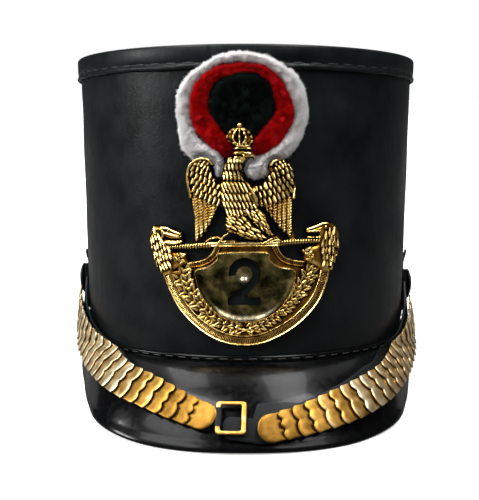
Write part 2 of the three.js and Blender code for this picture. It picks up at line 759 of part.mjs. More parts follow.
function addPlate() {
  const figure = Object.fromEntries(
    Object.entries(FIGURES).map(([name, points]) => [name, area(points)]),
  );
  const notch = (side) =>
    area(arcPoints(SHIELD_CENTRE + side * 24.5, 68.4, 13.4, 0, 345, 23));
  const top = area([[-47.5, 49.5], [49.5, 49.5], [34, 59], [14, 63.4], [-14, 63.4], [-33, 59]]);
  let shield = halfOutline(SHIELD_HALF, SHIELD_CENTRE).add(top);
  shield = shield.subtract(notch(-1)).subtract(notch(1));
  const field = halfOutline(FIELD_HALF, SHIELD_CENTRE);
  const two = numeralTwo();
  const eagle = [
    figure.crown,
    figure.head,
    figure.breast,
    figure.leftWing,
    figure.rightWing,
    figure.leftLeg,
    figure.rightLeg,
  ];
  const heads = figure.leftHead.add(figure.rightHead);
  const everything = eagle.reduce((sum, next) => sum.add(next), shield.add(heads));
  const whole = everything.add(figure.bolt);
  const layers = [
    { section: whole, height: PLATE.sheet },
    { section: shield.subtract(shield.offset(-3.4)), height: 2.4 },
    { section: shield.offset(-5).subtract(shield.offset(-9.6)), height: 2 },
    { section: field.subtract(field.offset(-1.4)), height: 2.2 },
    { section: figure.bolt.offset(-0.4), height: 3.4 },
    { section: heads.offset(-0.8), height: 3 },
    { section: figure.leftWing.add(figure.rightWing).offset(-1), height: 2.6 },
    { section: figure.breast.offset(-1.4), height: 3.4 },
    { section: figure.breast.offset(-4.4), height: 4.4 },
    { section: figure.head.add(figure.crown).offset(-1), height: 3.2 },
    { section: figure.leftLeg.add(figure.rightLeg).offset(-0.8), height: 2.8 },
  ];
  let solid = Manifold.union(layers.map(({ section, height }) => section.extrude(height)));
  solid = solid.subtract(two.extrude(20).translate([0, 0, -5]));
  const [largest] = solid.decompose().sort((a, b) => b.volume() - a.volume());
  const standoff = (height) => {
    const share = THREE.MathUtils.smoothstep(height, PLATE.leanFrom, PLATE.leanTo);
    return THREE.MathUtils.lerp(PLATE.standoff, PLATE.topStandoff, share);
  };
  piece("eagle_plate", geometryOf(wrapped(largest, standoff)), MATERIALS.brass);
}

addBody();
addPeak();
addCockade();
addPlate();
const leftRoute = addScales("left", LEFT_ROUTE, LEFT_LEATHER, STRAP.leftBeyondScales);
const rightRoute = addScales("right", RIGHT_ROUTE, RIGHT_LEATHER, STRAP.rightBeyondScales);
addBuckle();
addBoss("left", leftRoute);
addBoss("right", rightRoute);
addTab("left");
addTab("right");

// Rest: the back rim and the peak's lowest edge touch the surface

const peakCorners = hat.getObjectByName("peak").geometry.getAttribute("position");
let restTilt = 0;
for (let i = 0; i < peakCorners.count; i++) {
  const fromBackRim = bodyRadius(0) - peakCorners.getY(i);
  restTilt = Math.max(restTilt, Math.atan2(-peakCorners.getZ(i), fromBackRim));
}
hat.rotation.x = -restTilt;

const group = new THREE.Group();
group.add(hat);
group.updateMatrixWorld(true);
const bounds = new THREE.Box3().setFromObject(group, true);
const centre = bounds.getCenter(new THREE.Vector3());
hat.position.set(-centre.x, -centre.y, -bounds.min.z);

export default group;
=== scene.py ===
"""Shako hat: leather tube, patent peak, fur cockade, gilt eagle plate and brass chin scales.

Every piece is modelled in millimetres on the upright hat, with the front towards -Y and the
bottom edge of the tube at height 0. HatFrame then leans it back onto its peak and its back rim,
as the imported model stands, and turns millimetres to metres.
"""

from __future__ import annotations

import json
import logging
import math
from dataclasses import dataclass, field
from enum import Enum
from typing import Callable, Sequence

import bpy
import numpy as np
from mathutils import Matrix, Vector

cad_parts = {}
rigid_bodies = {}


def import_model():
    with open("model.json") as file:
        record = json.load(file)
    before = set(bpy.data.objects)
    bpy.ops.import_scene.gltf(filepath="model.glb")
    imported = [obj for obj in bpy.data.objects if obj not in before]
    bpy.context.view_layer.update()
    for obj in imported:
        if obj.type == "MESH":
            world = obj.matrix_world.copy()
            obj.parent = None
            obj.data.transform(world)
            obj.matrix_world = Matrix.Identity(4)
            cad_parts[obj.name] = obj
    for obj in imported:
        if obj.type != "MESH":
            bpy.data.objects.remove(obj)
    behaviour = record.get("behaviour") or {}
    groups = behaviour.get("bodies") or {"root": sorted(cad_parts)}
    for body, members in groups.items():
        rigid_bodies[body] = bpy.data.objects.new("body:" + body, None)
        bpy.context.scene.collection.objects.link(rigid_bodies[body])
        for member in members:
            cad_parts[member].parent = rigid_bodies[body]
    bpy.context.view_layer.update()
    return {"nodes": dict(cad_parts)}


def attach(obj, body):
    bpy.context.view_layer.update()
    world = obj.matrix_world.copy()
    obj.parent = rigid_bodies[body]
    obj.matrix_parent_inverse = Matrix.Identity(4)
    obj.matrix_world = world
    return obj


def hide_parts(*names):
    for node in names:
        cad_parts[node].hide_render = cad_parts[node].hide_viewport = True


logger = logging.getLogger("shako")

Array = np.ndarray
Piece = bpy.types.Object
Tree = bpy.types.NodeTree
Socket = bpy.types.NodeSocket
Recipe = tuple[dict[str, object], dict[str, Socket]]
Spot = Sequence[float]
Outline = Sequence[tuple[float, float]]

BODY_NAME = "root"
PICTURE_WIDTH = 479
PICTURE_HEIGHT = 500
GAP = 0.3  # between two solids that lie on each other, in millimetres
MERGED = 0.0004  # points nearer than this become one, in millimetres
FAR = 1e9  # distance of what hasn't been measured yet


class Side(Enum):
    """Side of the hat as it is seen from the front."""

    LEFT = "left"
    RIGHT = "right"

    @property
    def sign(self) -> int:
        """Minus one on the left, one on the right."""
        return -1 if self is Side.LEFT else 1


class Ends(Enum):
    """How a loft ends: in a cap at each end, or joined into a ring."""

    CAPPED = "capped"
    JOINED = "joined"


# Small sums


def smoothstep(value: Array, low: float, high: float) -> Array:
    """Eased share of the way from low to high, 0 before and 1 after."""
    share = np.clip((np.asarray(value, dtype=float) - low) / (high - low), 0.0, 1.0)
    return share * share * (3.0 - 2.0 * share)


def mixed(low: Array, high: Array, share: Array) -> Array:
    """Value at a share of the way from low to high."""
    return low + (high - low) * share


def unit(vectors: Array) -> Array:
    """Vectors of length one along the last axis."""
    return vectors / np.maximum(np.linalg.norm(vectors, axis=-1, keepdims=True), 1e-12)


def polar(azimuth: Array, radius: Array, height: Array) -> Array:
    """Points of the upright hat.

    Args:
        azimuth: Degrees round the axis from the front, positive towards +X.
        radius: Distance from the axis in millimetres.
        height: Height over the bottom edge in millimetres.

    Returns:
        Points with the last axis x, y, z.
    """
    angle = np.radians(azimuth)
    x, y, z = np.broadcast_arrays(
        radius * np.sin(angle), -radius * np.cos(angle), np.asarray(height, dtype=float)
    )
    return np.stack([x, y, z], axis=-1)


def dome(away: Array, least: float = 0.0) -> Array:
    """Height of a half circle of radius 1 away from its middle, its square at least least."""
    return np.sqrt(np.clip(1.0 - away**2, least, 1.0))


def bowed(share: Array, first: Array, second: Array, third: Array) -> Array:
    """Value at a share of the way along a curve bent by three corners."""
    return (1 - share) ** 2 * first + 2 * share * (1 - share) * second + share**2 * third


def lengths_along(path: Array) -> Array:
    """Length from a flat path's start to each of its points."""
    return np.concatenate([[0.0], np.cumsum(np.hypot(*np.diff(path, axis=0).T))])


def along_path(path: Array, sums: Array, places: Array) -> Array:
    """Points at lengths along a flat path, whose own points lie at the lengths sums."""
    return np.stack([np.interp(places, sums, path[:, i]) for i in (0, 1)], axis=-1)


def leftwards(steps: Array) -> Array:
    """Unit directions to the left of the steps of a flat path."""
    along = unit(steps)
    return np.stack([-along[..., 1], along[..., 0]], axis=-1)


def across_path(centre: Array, across: Array, wide: Array, tall: Array) -> Array:
    """Rings of points so wide across a flat path and so tall over it."""
    flat = centre[:, None, :] + across[:, None, :] * wide[..., None]
    return np.concatenate([flat, np.broadcast_to(tall, flat.shape[:2])[..., None]], axis=2)


def look_up(rows: Sequence[Spot], column: int, place: Array) -> Array:
    """Smooth value of a table's column at a place in its first column.

    Args:
        rows: Table whose first column rises.
        column: Index of the column to read.
        place: Where to read, in the first column's unit.

    Returns:
        Values by cubic Hermite between the rows.
    """
    table = np.asarray(rows, dtype=float)
    keys = table[:, 0]
    values = table[:, column]
    inside = np.clip(place, keys[0], keys[-1])
    after = np.clip(np.searchsorted(keys, inside, side="left"), 1, len(keys) - 1)
    low = np.maximum(np.arange(len(keys)) - 1, 0)
    high = np.minimum(np.arange(len(keys)) + 1, len(keys) - 1)
    slopes = (values[high] - values[low]) / (keys[high] - keys[low])
    width = keys[after] - keys[after - 1]
    s = (inside - keys[after - 1]) / width
    return (
        (2 * s**3 - 3 * s**2 + 1) * values[after - 1]
        + (s**3 - 2 * s**2 + s) * width * slopes[after - 1]
        + (3 * s**2 - 2 * s**3) * values[after]
        + (s**3 - s**2) * width * slopes[after]
    )


class Ripples:
    """Smooth seeded unevenness over an azimuth and a height."""

    def __init__(self, seed: int, waves: int, longest: float, shortest: float) -> None:
        """Draws the waves.

        Args:
            seed: Seed of the random numbers.
            waves: How many waves are summed.
            longest: Longest wavelength in millimetres.
            shortest: Shortest wavelength in millimetres.
        """
        rng = np.random.default_rng(seed)
        lengths = np.exp(rng.uniform(math.log(shortest), math.log(longest), waves))
        turns = rng.uniform(0.0, 2.0 * math.pi, waves)
        self.across = 2.0 * math.pi / lengths * np.cos(turns)
        self.upwards = 2.0 * math.pi / lengths * np.sin(turns)
        self.phase = rng.uniform(0.0, 2.0 * math.pi, waves)
        self.weight = np.sqrt(lengths / longest) / math.sqrt(waves)

    def at(self, arc: Array, height: Array) -> Array:
        """Unevenness of about -1 to 1 at an arc length and a height, both in millimetres.

        Args:
            arc: Length round the tube from the front.
            height: Height over the bottom edge.

        Returns:
            One number for each place.
        """
        total = 0.0
        for a, u, p, w in zip(self.across, self.upwards, self.phase, self.weight):
            total = total + w * np.sin(a * arc + u * height + p)
        return total * 1.4


# Shaping meshes


def only(piece: Piece) -> Piece:
    """Makes one object the only selected one, and the active one.

    Args:
        piece: The object.

    Returns:
        The same object.
    """
    for other in bpy.context.view_layer.objects:
        other.select_set(False)
    piece.select_set(True)
    bpy.context.view_layer.objects.active = piece
    return piece


def points_of(piece: Piece) -> Array:
    """Vertices of a mesh object as an array of x, y, z.

    Args:
        piece: The mesh object.

    Returns:
        One row for each vertex.
    """
    flat = np.empty(len(piece.data.vertices) * 3)
    piece.data.vertices.foreach_get("co", flat)
    return flat.reshape(-1, 3)


def move_points(piece: Piece, points: Array) -> None:
    """Sets the vertices of a mesh object from an array of x, y, z."""
    piece.data.vertices.foreach_set("co", np.asarray(points, dtype=float).reshape(-1))
    piece.data.update()


def edit(piece: Piece, *steps: Callable[[], object]) -> None:
    """Runs edit mode steps on the whole of a mesh.

    Args:
        piece: The mesh object.
        steps: Calls made in edit mode, each with everything selected.
    """
    only(piece)
    bpy.ops.object.mode_set(mode="EDIT")
    for step in steps:
        bpy.ops.mesh.select_mode(type="VERT")
        bpy.ops.mesh.select_all(action="SELECT")
        step()
    bpy.ops.object.mode_set(mode="OBJECT")


def outwards_again() -> None:
    """Edit mode step that turns the faces of a closed mesh outwards."""
    bpy.ops.mesh.normals_make_consistent(inside=False)


def close_ends() -> None:
    """Edit mode step that closes open borders with faces."""
    bpy.ops.mesh.select_all(action="DESELECT")
    bpy.ops.mesh.select_non_manifold(
        extend=False, use_wire=False, use_boundary=True, use_multi_face=False,
        use_non_contiguous=False, use_verts=False,
    )
    bpy.ops.mesh.fill_holes(sides=0)


def on_faces(piece: Piece, chosen: Sequence[bool], step: Callable[[], object]) -> None:
    """Runs one edit mode step on some faces of a mesh.

    Args:
        piece: The mesh object.
        chosen: Whether the step is for a face, for each face.
        step: The call that is made in edit mode.
    """
    only(piece)
    bpy.ops.object.mode_set(mode="EDIT")
    bpy.ops.mesh.select_mode(type="FACE")
    bpy.ops.mesh.select_all(action="DESELECT")
    bpy.ops.object.mode_set(mode="OBJECT")
    piece.data.polygons.foreach_set("select", chosen)
    bpy.ops.object.mode_set(mode="EDIT")
    step()
    bpy.ops.object.mode_set(mode="OBJECT")


def named(name: str) -> Piece:
    """The object that was just added, under its new name.

    Args:
        name: Name of the object.

    Returns:
        The object.
    """
    piece = bpy.context.active_object
    piece.name = name
    piece.data.name = name
    return piece


def linked(name: str, data: bpy.types.ID) -> Piece:
    """New object of some data, linked to the scene.

    Args:
        name: Name of the object.
        data: What it shows, such as a mesh or a light.

    Returns:
        The object.
    """
    piece = bpy.data.objects.new(name, data)
    bpy.context.scene.collection.objects.link(piece)
    return piece


def grid(name: str, columns: int, rows: int) -> tuple[Piece, Array, Array]:
    """Flat primitive grid of so many cells, and its points' shares along columns and rows.

    Args:
        name: Name of the object.
        columns: Cells along x.
        rows: Cells along y.

    Returns:
        The object, and the shares from 0 to 1 of each of its points.
    """
    bpy.ops.mesh.primitive_grid_add(x_subdivisions=columns, y_subdivisions=rows, size=2.0)
    piece = named(name)
    x, y = (points_of(piece)[:, :2].T + 1.0) / 2.0
    return piece, x, y


def loft(name: str, rings: Array, ends: Ends, relief: Array | None = None) -> Piece:
    """Closed skin over a row of closed sections, shaped from a primitive grid.

    Args:
        name: Name of the new object.
        rings: Points as (sections, points round a section, 3), in millimetres.
        ends: Whether the row is capped or joined into a ring.
        relief: How far each point stands out, from 0 to 1, for the finish.

    Returns:
        The mesh object, with its faces outwards.
    """
    along, round_ = rings.shape[:2]
    cells = along if ends is Ends.JOINED else along - 1
    piece, x, y = grid(name, cells, round_)
    spot = np.rint(x * cells).astype(int) % along, np.rint(y * round_).astype(int) % round_
    move_points(piece, rings[spot])
    if relief is not None:
        mark(piece, "relief", relief[spot])
    steps = [lambda: bpy.ops.mesh.remove_doubles(threshold=MERGED)]
    if ends is Ends.CAPPED:
        steps.append(close_ends)
    edit(piece, *steps, outwards_again)
    return piece


def finished(piece: Piece, kind: str, **settings: object) -> Piece:
    """Adds a modifier with its settings and applies it.

    Args:
        piece: The mesh object.
        kind: Blender's name of the modifier.
        settings: Values of the modifier's own fields.

    Returns:
        The same object.
    """
    only(piece)
    modifier = piece.modifiers.new(kind.lower(), kind)
    for key, value in settings.items():
        setattr(modifier, key, value)
    bpy.ops.object.modifier_apply(modifier=modifier.name)
    return piece


def smooth(piece: Piece, angle: float = 40.0) -> Piece:
    """Shades a piece smooth, with edges sharper than an angle in degrees kept crisp.

    Args:
        piece: The mesh object.
        angle: Edges sharper than this, in degrees, stay crisp.

    Returns:
        The same object.
    """
    only(piece)
    bpy.ops.object.shade_smooth_by_angle(angle=math.radians(angle))
    return piece


def rounded_section(width: float, depth: float, corner: float, steps: int = 3) -> Array:
    """Closed rectangle with round corners.

    Args:
        width: Size along the first axis.
        depth: Size along the second axis.
        corner: Radius of the corners.
        steps: Cells round each corner.

    Returns:
        Points as (count, 2), centred.
    """
    x, y = width / 2.0 - corner, depth / 2.0 - corner
    points = []
    for middle_x, middle_y, start in ((x, y, 0.0), (-x, y, 90.0), (-x, -y, 180.0), (x, -y, 270.0)):
        for step in range(steps + 1):
            angle = math.radians(start + 90.0 * step / steps)
            points.append((middle_x + corner * math.cos(angle), middle_y + corner * math.sin(angle)))
    return np.array(points)


def copied(name: str, model: Piece, places: Array, axes: Array) -> Piece:
    """One mesh of many copies of a small model, which is then removed.

    Args:
        name: Name of the new object.
        model: The piece that was modelled once.
        places: Where each copy's centre lies, as (count, 3).
        axes: Directions of the model's x, y and z for each copy, as (count, 3, 3).

    Returns:
        The object that holds all the copies.
    """
    base = points_of(model)
    loops = [tuple(polygon.vertices) for polygon in model.data.polygons]
    moved = places[:, None, :] + np.einsum("pi,cij->cpj", base, axes)
    starts = range(0, len(places) * len(base), len(base))
    faces = [tuple(v + start for v in corners) for start in starts for corners in loops]
    mesh = bpy.data.meshes.new(name)
    mesh.from_pydata(moved.reshape(-1, 3).tolist(), [], faces)
    mesh.update()
    bpy.data.objects.remove(model)
    return linked(name, mesh)


def stitch_model(length: float, width: float) -> Piece:
    """One stitch of thread, a low rounded bar along X.

    Args:
        length: Its length.
        width: Width of the thread.

    Returns:
        The stitch, at the origin.
    """
    bpy.ops.mesh.primitive_uv_sphere_add(segments=8, ring_count=6, radius=0.5)
    model = bpy.context.active_object
    points = points_of(model)
    points = np.sign(points) * 0.5 * (np.abs(points) / 0.5) ** 0.8
    move_points(model, points * np.array([length, width, 0.8 * width]))
    return model


def stitched(name: str, places: Array, upright: bool, length: float, width: float) -> Piece:
    """Stitches of thread on the tube.

    Args:
        name: Name of the new object.
        places: Middle of each stitch.
        upright: Whether they run up the tube and not round it.
        length: Length of a stitch.
        width: Width of the thread.

    Returns:
        One mesh of all the stitches.
    """
    up = np.tile([0.0, 0.0, 1.0], (len(places), 1))
    out = unit(places * np.array([1.0, 1.0, 0.0]))
    level = np.cross(up, out)
    axes = [up, -level, out] if upright else [level, up, out]
    return copied(name, stitch_model(length, width), places, np.stack(axes, axis=1))


def mark(piece: Piece, name: str, values: Array) -> None:
    """Stores a number for each vertex, which a finish reads as an attribute."""
    attribute = piece.data.attributes.new(name, "FLOAT", "POINT")
    attribute.data.foreach_set("value", np.asarray(values, dtype=np.float32).reshape(-1))


# Finishes


def linear(code: str) -> tuple[float, float, float, float]:
    """Linear colour of an sRGB hex code such as #c99a35.

    Args:
        code: The hex code.

    Returns:
        Red, green, blue and an opacity of one.
    """
    channels = [int(code[i : i + 2], 16) / 255.0 for i in (1, 3, 5)]
    straight = [c / 12.92 if c <= 0.04045 else ((c + 0.055) / 1.055) ** 2.4 for c in channels]
    return (straight[0], straight[1], straight[2], 1.0)


def wire(tree: Tree, node: bpy.types.Node, values: dict, links: dict) -> None:
    """Sets a node's plain sockets and links its others, by name or index."""
    for key, value in values.items():
        node.inputs[key].default_value = value
    for key, source in links.items():
        tree.links.new(source, node.inputs[key])


def add_node(
    tree: Tree, kind: str, output: str | int = 0, settings: dict | None = None,
    values: dict | None = None, links: dict | None = None, stops: Sequence[tuple[float, str]] = (),
) -> Socket:
    """Adds a shader node with its settings, socket values and incoming links.

    Args:
        tree: The node tree.
        kind: Blender's name of the node, after ShaderNode.
        output: Name or index of the output that is wanted.
        settings: Fields of the node itself.
        values: Values of unlinked sockets, by name or index.
        links: Sockets that feed this node's inputs, by name or index.
        stops: Places and hex codes of a colour ramp.

    Returns:
        The wanted output.
    """
    node = tree.nodes.new(f"ShaderNode{kind}")
    for key, value in (settings or {}).items():
        setattr(node, key, value)
    wire(tree, node, values or {}, links or {})
    if stops:
        stripe = node.color_ramp
        while len(stripe.elements) < len(stops):
            stripe.elements.new(0.5)
        for element, (place, code) in zip(stripe.elements, stops):
            element.position = place
            element.color = linear(code)
    return node.outputs[output]


def features(millimetres: float, detail: float = 3.0) -> dict[str, float]:
    """Values of a noise whose features are about so many millimetres wide."""
    return {"Scale": 1000.0 / millimetres, "Detail": detail, "Roughness": 0.55}


def spread(low: float, high: float) -> dict[str, float]:
    """Values of a map range from low to high over 0.3 to 0.7, the middle of a noise."""
    return {"From Min": 0.3, "From Max": 0.7, "To Min": low, "To Max": high}


def raised(strength: float, millimetres: float) -> dict[str, float]:
    """Values of a bump so many millimetres deep."""
    return {"Strength": strength, "Distance": millimetres / 1000.0}


@dataclass(frozen=True)
class Finish:
    """A material: its name, and the slot of the record that it stands for."""

    name: str
    slot: str

    def material(self) -> bpy.types.Material:
        """The material of this name, made the first time it is asked for.

        Returns:
            The material, with its nodes.
        """
        ready = bpy.data.materials.get(self.name)
        if ready:
            return ready
        material = bpy.data.materials.new(self.name)
        material.use_nodes = True
        tree = material.node_tree
        shader = next(n for n in tree.nodes if n.type == "BSDF_PRINCIPLED")
        values, links = self.recipe(tree, add_node(tree, "TexCoord", "Object"))
        wire(tree, shader, values, links)
        return material

    def recipe(self, tree: Tree, place: Socket) -> Recipe:
        """Builds the finish's pattern.

        Args:
            tree: The material's node tree.
            place: Coordinates on the piece, in metres.

        Returns:
            Values of the shader's plain sockets, and what is linked to its others.
        """
        raise NotImplementedError


@dataclass(frozen=True)
class SatinLeather(Finish):
    """Black cowhide, waxed and hand rubbed to a satin gloss.

    The wax leaves broad dull and bright patches, so the sheen is never even, and the hide's
    pores and drawn creases break it up close to.
    """

    name: str = "waxed_cowhide"
    slot: str = "satin_leather"
    dark: str = "#060708"
    light: str = "#121516"
    roughness_low: float = 0.3
    roughness_high: float = 0.52
    patch: float = 26.0
    crease: float = 7.0
    crease_depth: float = 0.56
    pore: float = 1.3  # real pores are 0.2 mm, drawn as coarse as the picture can show
    pore_depth: float = 0.12

    def recipe(self, tree: Tree, place: Socket) -> Recipe:
        """The leather's values and links."""
        patches = add_node(
            tree, "TexNoise", "Fac", values=features(self.patch, 4.0), links={"Vector": place}
        )
        upright = add_node(
            tree, "Mapping", values={"Scale": (1.0, 1.0, 0.35)}, links={"Vector": place}
        )
        creases = add_node(
            tree, "TexNoise", "Fac", values=features(self.crease, 5.0), links={"Vector": upright}
        )
        pores = add_node(
            tree, "TexVoronoi", "Distance", settings={"feature": "F1"},
            values={"Scale": 1000.0 / self.pore}, links={"Vector": place},
        )
        creased = add_node(
            tree, "Bump", values=raised(0.5, self.crease_depth), links={"Height": creases}
        )
        return {"IOR": 1.5, "Specular IOR Level": 0.14}, {
            "Base Color": add_node(
                tree, "ValToRGB", links={"Fac": patches}, stops=[(0.3, self.dark), (0.7, self.light)]
            ),
            "Roughness": add_node(
                tree, "MapRange", values=spread(self.roughness_low, self.roughness_high),
                links={"Value": patches},
            ),
            "Normal": add_node(
                tree, "Bump", values=raised(0.25, self.pore_depth),
                links={"Height": pores, "Normal": creased},
            ),
        }


@dataclass(frozen=True)
class PatentLeather(Finish):
    """Black patent leather: hide under many coats of lacquer.

    The lacquer is mirror smooth but lies on a soft base, so reflections are sharp and wavy.
    """

    name: str = "lacquered_patent_leather"
    slot: str = "patent_leather"
    colour: str = "#020203"
    dusty: str = "#070808"
    roughness: float = 0.21
    wave: float = 18.0
    dust: float = 3.0

    def recipe(self, tree: Tree, place: Socket) -> Recipe:
        """The patent leather's values and links."""
        waves = add_node(
            tree, "TexNoise", "Fac", values=features(self.wave, 2.0), links={"Vector": place}
        )
        dust = add_node(
            tree, "TexNoise", "Fac", values=features(self.dust, 4.0), links={"Vector": place}
        )
        values = {
            "IOR": 1.5, "Specular IOR Level": 0.12, "Coat Weight": 0.08, "Coat Roughness": 0.06
        }
        return values, {
            "Base Color": add_node(
                tree, "ValToRGB", links={"Fac": dust}, stops=[(0.35, self.colour), (0.75, self.dusty)]
            ),
            "Roughness": add_node(
                tree, "MapRange", values=spread(self.roughness * 0.8, self.roughness * 1.3),
                links={"Value": dust},
            ),
            "Normal": add_node(tree, "Bump", values=raised(0.35, 0.5), links={"Height": waves}),
        }


@dataclass(frozen=True)
class GiltBrass(Finish):
    """Stamped brass sheet, fire gilt and then rubbed.

    Rubbing keeps raised places pale and leaves brown tarnish in the recesses. On top of that
    the colour ramp paints shade into the recesses and a highlight onto the raised places. The
    attribute relief says how far each point stands out, from 0 in a recess to 1.
    """

    name: str = "gilt_stamped_brass"
    slot: str = "brass"
    recess: str = "#120a02"
    shade: str = "#5d3c10"
    body: str = "#b7832b"
    crest: str = "#f7da8c"
    roughness_low: float = 0.18
    roughness_high: float = 0.36
    stain: float = 5.0
    grain: float = 0.9
    grain_depth: float = 0.05

    def recipe(self, tree: Tree, place: Socket) -> Recipe:
        """The gilt brass's values and links."""
        relief = add_node(tree, "Attribute", "Fac", settings={"attribute_name": "relief"})
        tarnish = add_node(
            tree, "TexNoise", "Fac", values=features(self.stain, 4.0), links={"Vector": place}
        )
        shifted = add_node(
            tree, "Math", settings={"operation": "MULTIPLY_ADD"}, values={1: 0.5, 2: -0.25},
            links={0: tarnish},
        )
        depth = add_node(
            tree, "Math", settings={"operation": "ADD", "use_clamp": True},
            links={0: relief, 1: shifted},
        )
        dents = add_node(
            tree, "TexNoise", "Fac", values=features(self.grain), links={"Vector": place}
        )
        # Recess and shade stops are partly tarnish and partly painted shade; crest is partly rubbed
        # gilt, partly painted highlight.
        stops = [(0.1, self.recess), (0.32, self.shade), (0.56, self.body), (0.92, self.crest)]
        return {"Metallic": 1.0}, {
            "Base Color": add_node(tree, "ValToRGB", links={"Fac": depth}, stops=stops),
            "Roughness": add_node(
                tree, "MapRange", values=spread(self.roughness_low, self.roughness_high),
                links={"Value": tarnish},
            ),
            "Normal": add_node(
                tree, "Bump", values=raised(0.5, self.grain_depth), links={"Height": dents}
            ),
        }


@dataclass(frozen=True)
class BurnishedBrass(Finish):
    """Burnished brass field, polished by hand over old tarnish, a dark and cloudy mirror.

    The attribute relief places a painted reflection and a painted highlight on it, from 0 to 1.
    """

    name: str = "burnished_brass_field"
    slot: str = "brass"
    dark: str = "#2c2a18"
    middle: str = "#6c6138"
    light: str = "#b09a60"
    # Colour of the painted reflection and the painted highlight.
    painted_light: str = "#fff0c8"
    roughness: float = 0.16
    cloud: float = 7.0
    dent: float = 4.0

    def recipe(self, tree: Tree, place: Socket) -> Recipe:
        """The burnished brass's values and links."""
        clouds = add_node(
            tree, "TexNoise", "Fac", values=features(self.cloud, 5.0), links={"Vector": place}
        )
        colour = add_node(
            tree, "ValToRGB", links={"Fac": clouds},
            stops=[(0.34, self.dark), (0.55, self.middle), (0.72, self.light)],
        )
        # Painted reflection and highlight, which mix the field towards the pale colour.
        rubbed = add_node(tree, "Attribute", "Fac", settings={"attribute_name": "relief"})
        dents = add_node(
            tree, "TexNoise", "Fac", values=features(self.dent), links={"Vector": place}
        )
        return {"Metallic": 1.0}, {
            "Base Color": add_node(
                tree, "Mix", 2, {"data_type": "RGBA"}, {7: linear(self.painted_light)}, {0: rubbed, 6: colour}
            ),
            "Roughness": add_node(
                tree, "MapRange", values=spread(self.roughness, self.roughness * 2.2),
                links={"Value": clouds},
            ),
            "Normal": add_node(tree, "Bump", values=raised(0.5, 0.3), links={"Height": dents}),
        }


@dataclass(frozen=True)
class WaxedThread(Finish):
    """Waxed black linen thread, whose twist shows as fine slanting ridges."""

    name: str = "waxed_linen_thread"
    slot: str = "satin_leather"
    dark: str = "#070707"
    light: str = "#1b1b1b"
    twist: float = 0.5

    def recipe(self, tree: Tree, place: Socket) -> Recipe:
        """The thread's values and links."""
        twist = add_node(
            tree, "TexNoise", "Fac", values=features(self.twist, 2.0), links={"Vector": place}
        )
        return {"Roughness": 0.6}, {
            "Base Color": add_node(
                tree, "ValToRGB", links={"Fac": twist}, stops=[(0.3, self.dark), (0.7, self.light)]
            ),
            "Normal": add_node(tree, "Bump", values=raised(0.6, 0.1), links={"Height": twist}),
        }


@dataclass(frozen=True)
class FurPile(Finish):
    """Clipped sheepskin pile: soft matt hairs, darker at the root than at the tip.

    The attributes tip and tone give the place along a hair and a hair's own shade.
    """

    name: str = "clipped_sheepskin_pile"
    slot: str = "white_fur"
    root: str = "#e4dfde"
    deep: str = "#f3efed"
    bright: str = "#ffffff"
    sheen: float = 0.5
    scatter: float = 0.7
    tuft: float = 6.0

    def recipe(self, tree: Tree, place: Socket) -> Recipe:
        """The pile's values and links."""
        tip = add_node(tree, "Attribute", "Fac", settings={"attribute_name": "tip"})
        tone = add_node(tree, "Attribute", "Fac", settings={"attribute_name": "tone"})
        patch = add_node(
            tree, "TexNoise", "Fac", values=features(self.tuft), links={"Vector": place}
        )
        mean = add_node(
            tree, "Math", settings={"operation": "MULTIPLY_ADD"}, values={1: 0.45},
            links={0: tone, 2: patch},
        )
        hair = add_node(
            tree, "ValToRGB", links={"Fac": mean}, stops=[(0.45, self.deep), (0.95, self.bright)]
        )
        blend = add_node(
            tree, "Mix", 2, {"data_type": "RGBA"}, {6: linear(self.root)}, {0: tip, 7: hair}
        )
        values = {
            "Roughness": 0.75, "Specular IOR Level": 0.2, "Sheen Weight": self.sheen,
            "Sheen Roughness": 0.4, "Subsurface Weight": self.scatter,
            "Subsurface Radius": (1.0, 1.0, 1.0), "Subsurface Scale": 0.002,
        }
        return values, {"Base Color": blend}


@dataclass(frozen=True)
class FloorPaper(Finish):
    """Matt white seamless studio paper, lit through from below where the camera sees it."""

    name: str = "seamless_studio_paper"
    slot: str = ""
    shaded: str = "#f1f1f0"
    colour: str = "#f4f4f3"
    mirrored: str = "#666666"
    glow: float = 0.45
    fibre: float = 3.0

    def recipe(self, tree: Tree, place: Socket) -> Recipe:
        """The paper's values and links."""
        fibres = add_node(
            tree, "TexNoise", "Fac", values=features(self.fibre), links={"Vector": place}
        )
        paper = add_node(
            tree, "ValToRGB", links={"Fac": fibres}, stops=[(0.3, self.shaded), (0.7, self.colour)]
        )
        seen = add_node(tree, "LightPath", "Is Camera Ray")
        values = {
            "Roughness": 0.9, "Specular IOR Level": 0.1, "Emission Color": linear(self.colour)
        }
        return values, {
            "Base Color": add_node(
                tree, "Mix", 2, {"data_type": "RGBA"}, {6: linear(self.mirrored)}, {0: seen, 7: paper}
            ),
            "Emission Strength": add_node(
                tree, "Math", settings={"operation": "MULTIPLY"}, values={1: self.glow},
                links={0: seen},
            ),
        }


LEATHER = SatinLeather()
PATENT = PatentLeather()
BRASS = GiltBrass()
SCALE_BRASS = GiltBrass(
    name="gilt_rolled_brass", body="#be8f40", crest="#f7eac4", recess="#241604", shade="#7c5a24",
    roughness_low=0.36, roughness_high=0.5, grain=1.6, grain_depth=0.04,
)
THREAD = WaxedThread()
FIELD_BRASS = BurnishedBrass()
WHITE_FUR = FurPile()
RED_FUR = FurPile(
    name="clipped_red_pile", slot="red_fur", root="#700004", deep="#b80408", bright="#ee1014",
    sheen=0.0, scatter=0.0,
)
GREEN_FUR = FurPile(
    name="clipped_green_black_pile", slot="green_fur", root="#010202", deep="#020a08",
    bright="#07241c", sheen=0.0, scatter=0.0,
)


# The hat's own frame


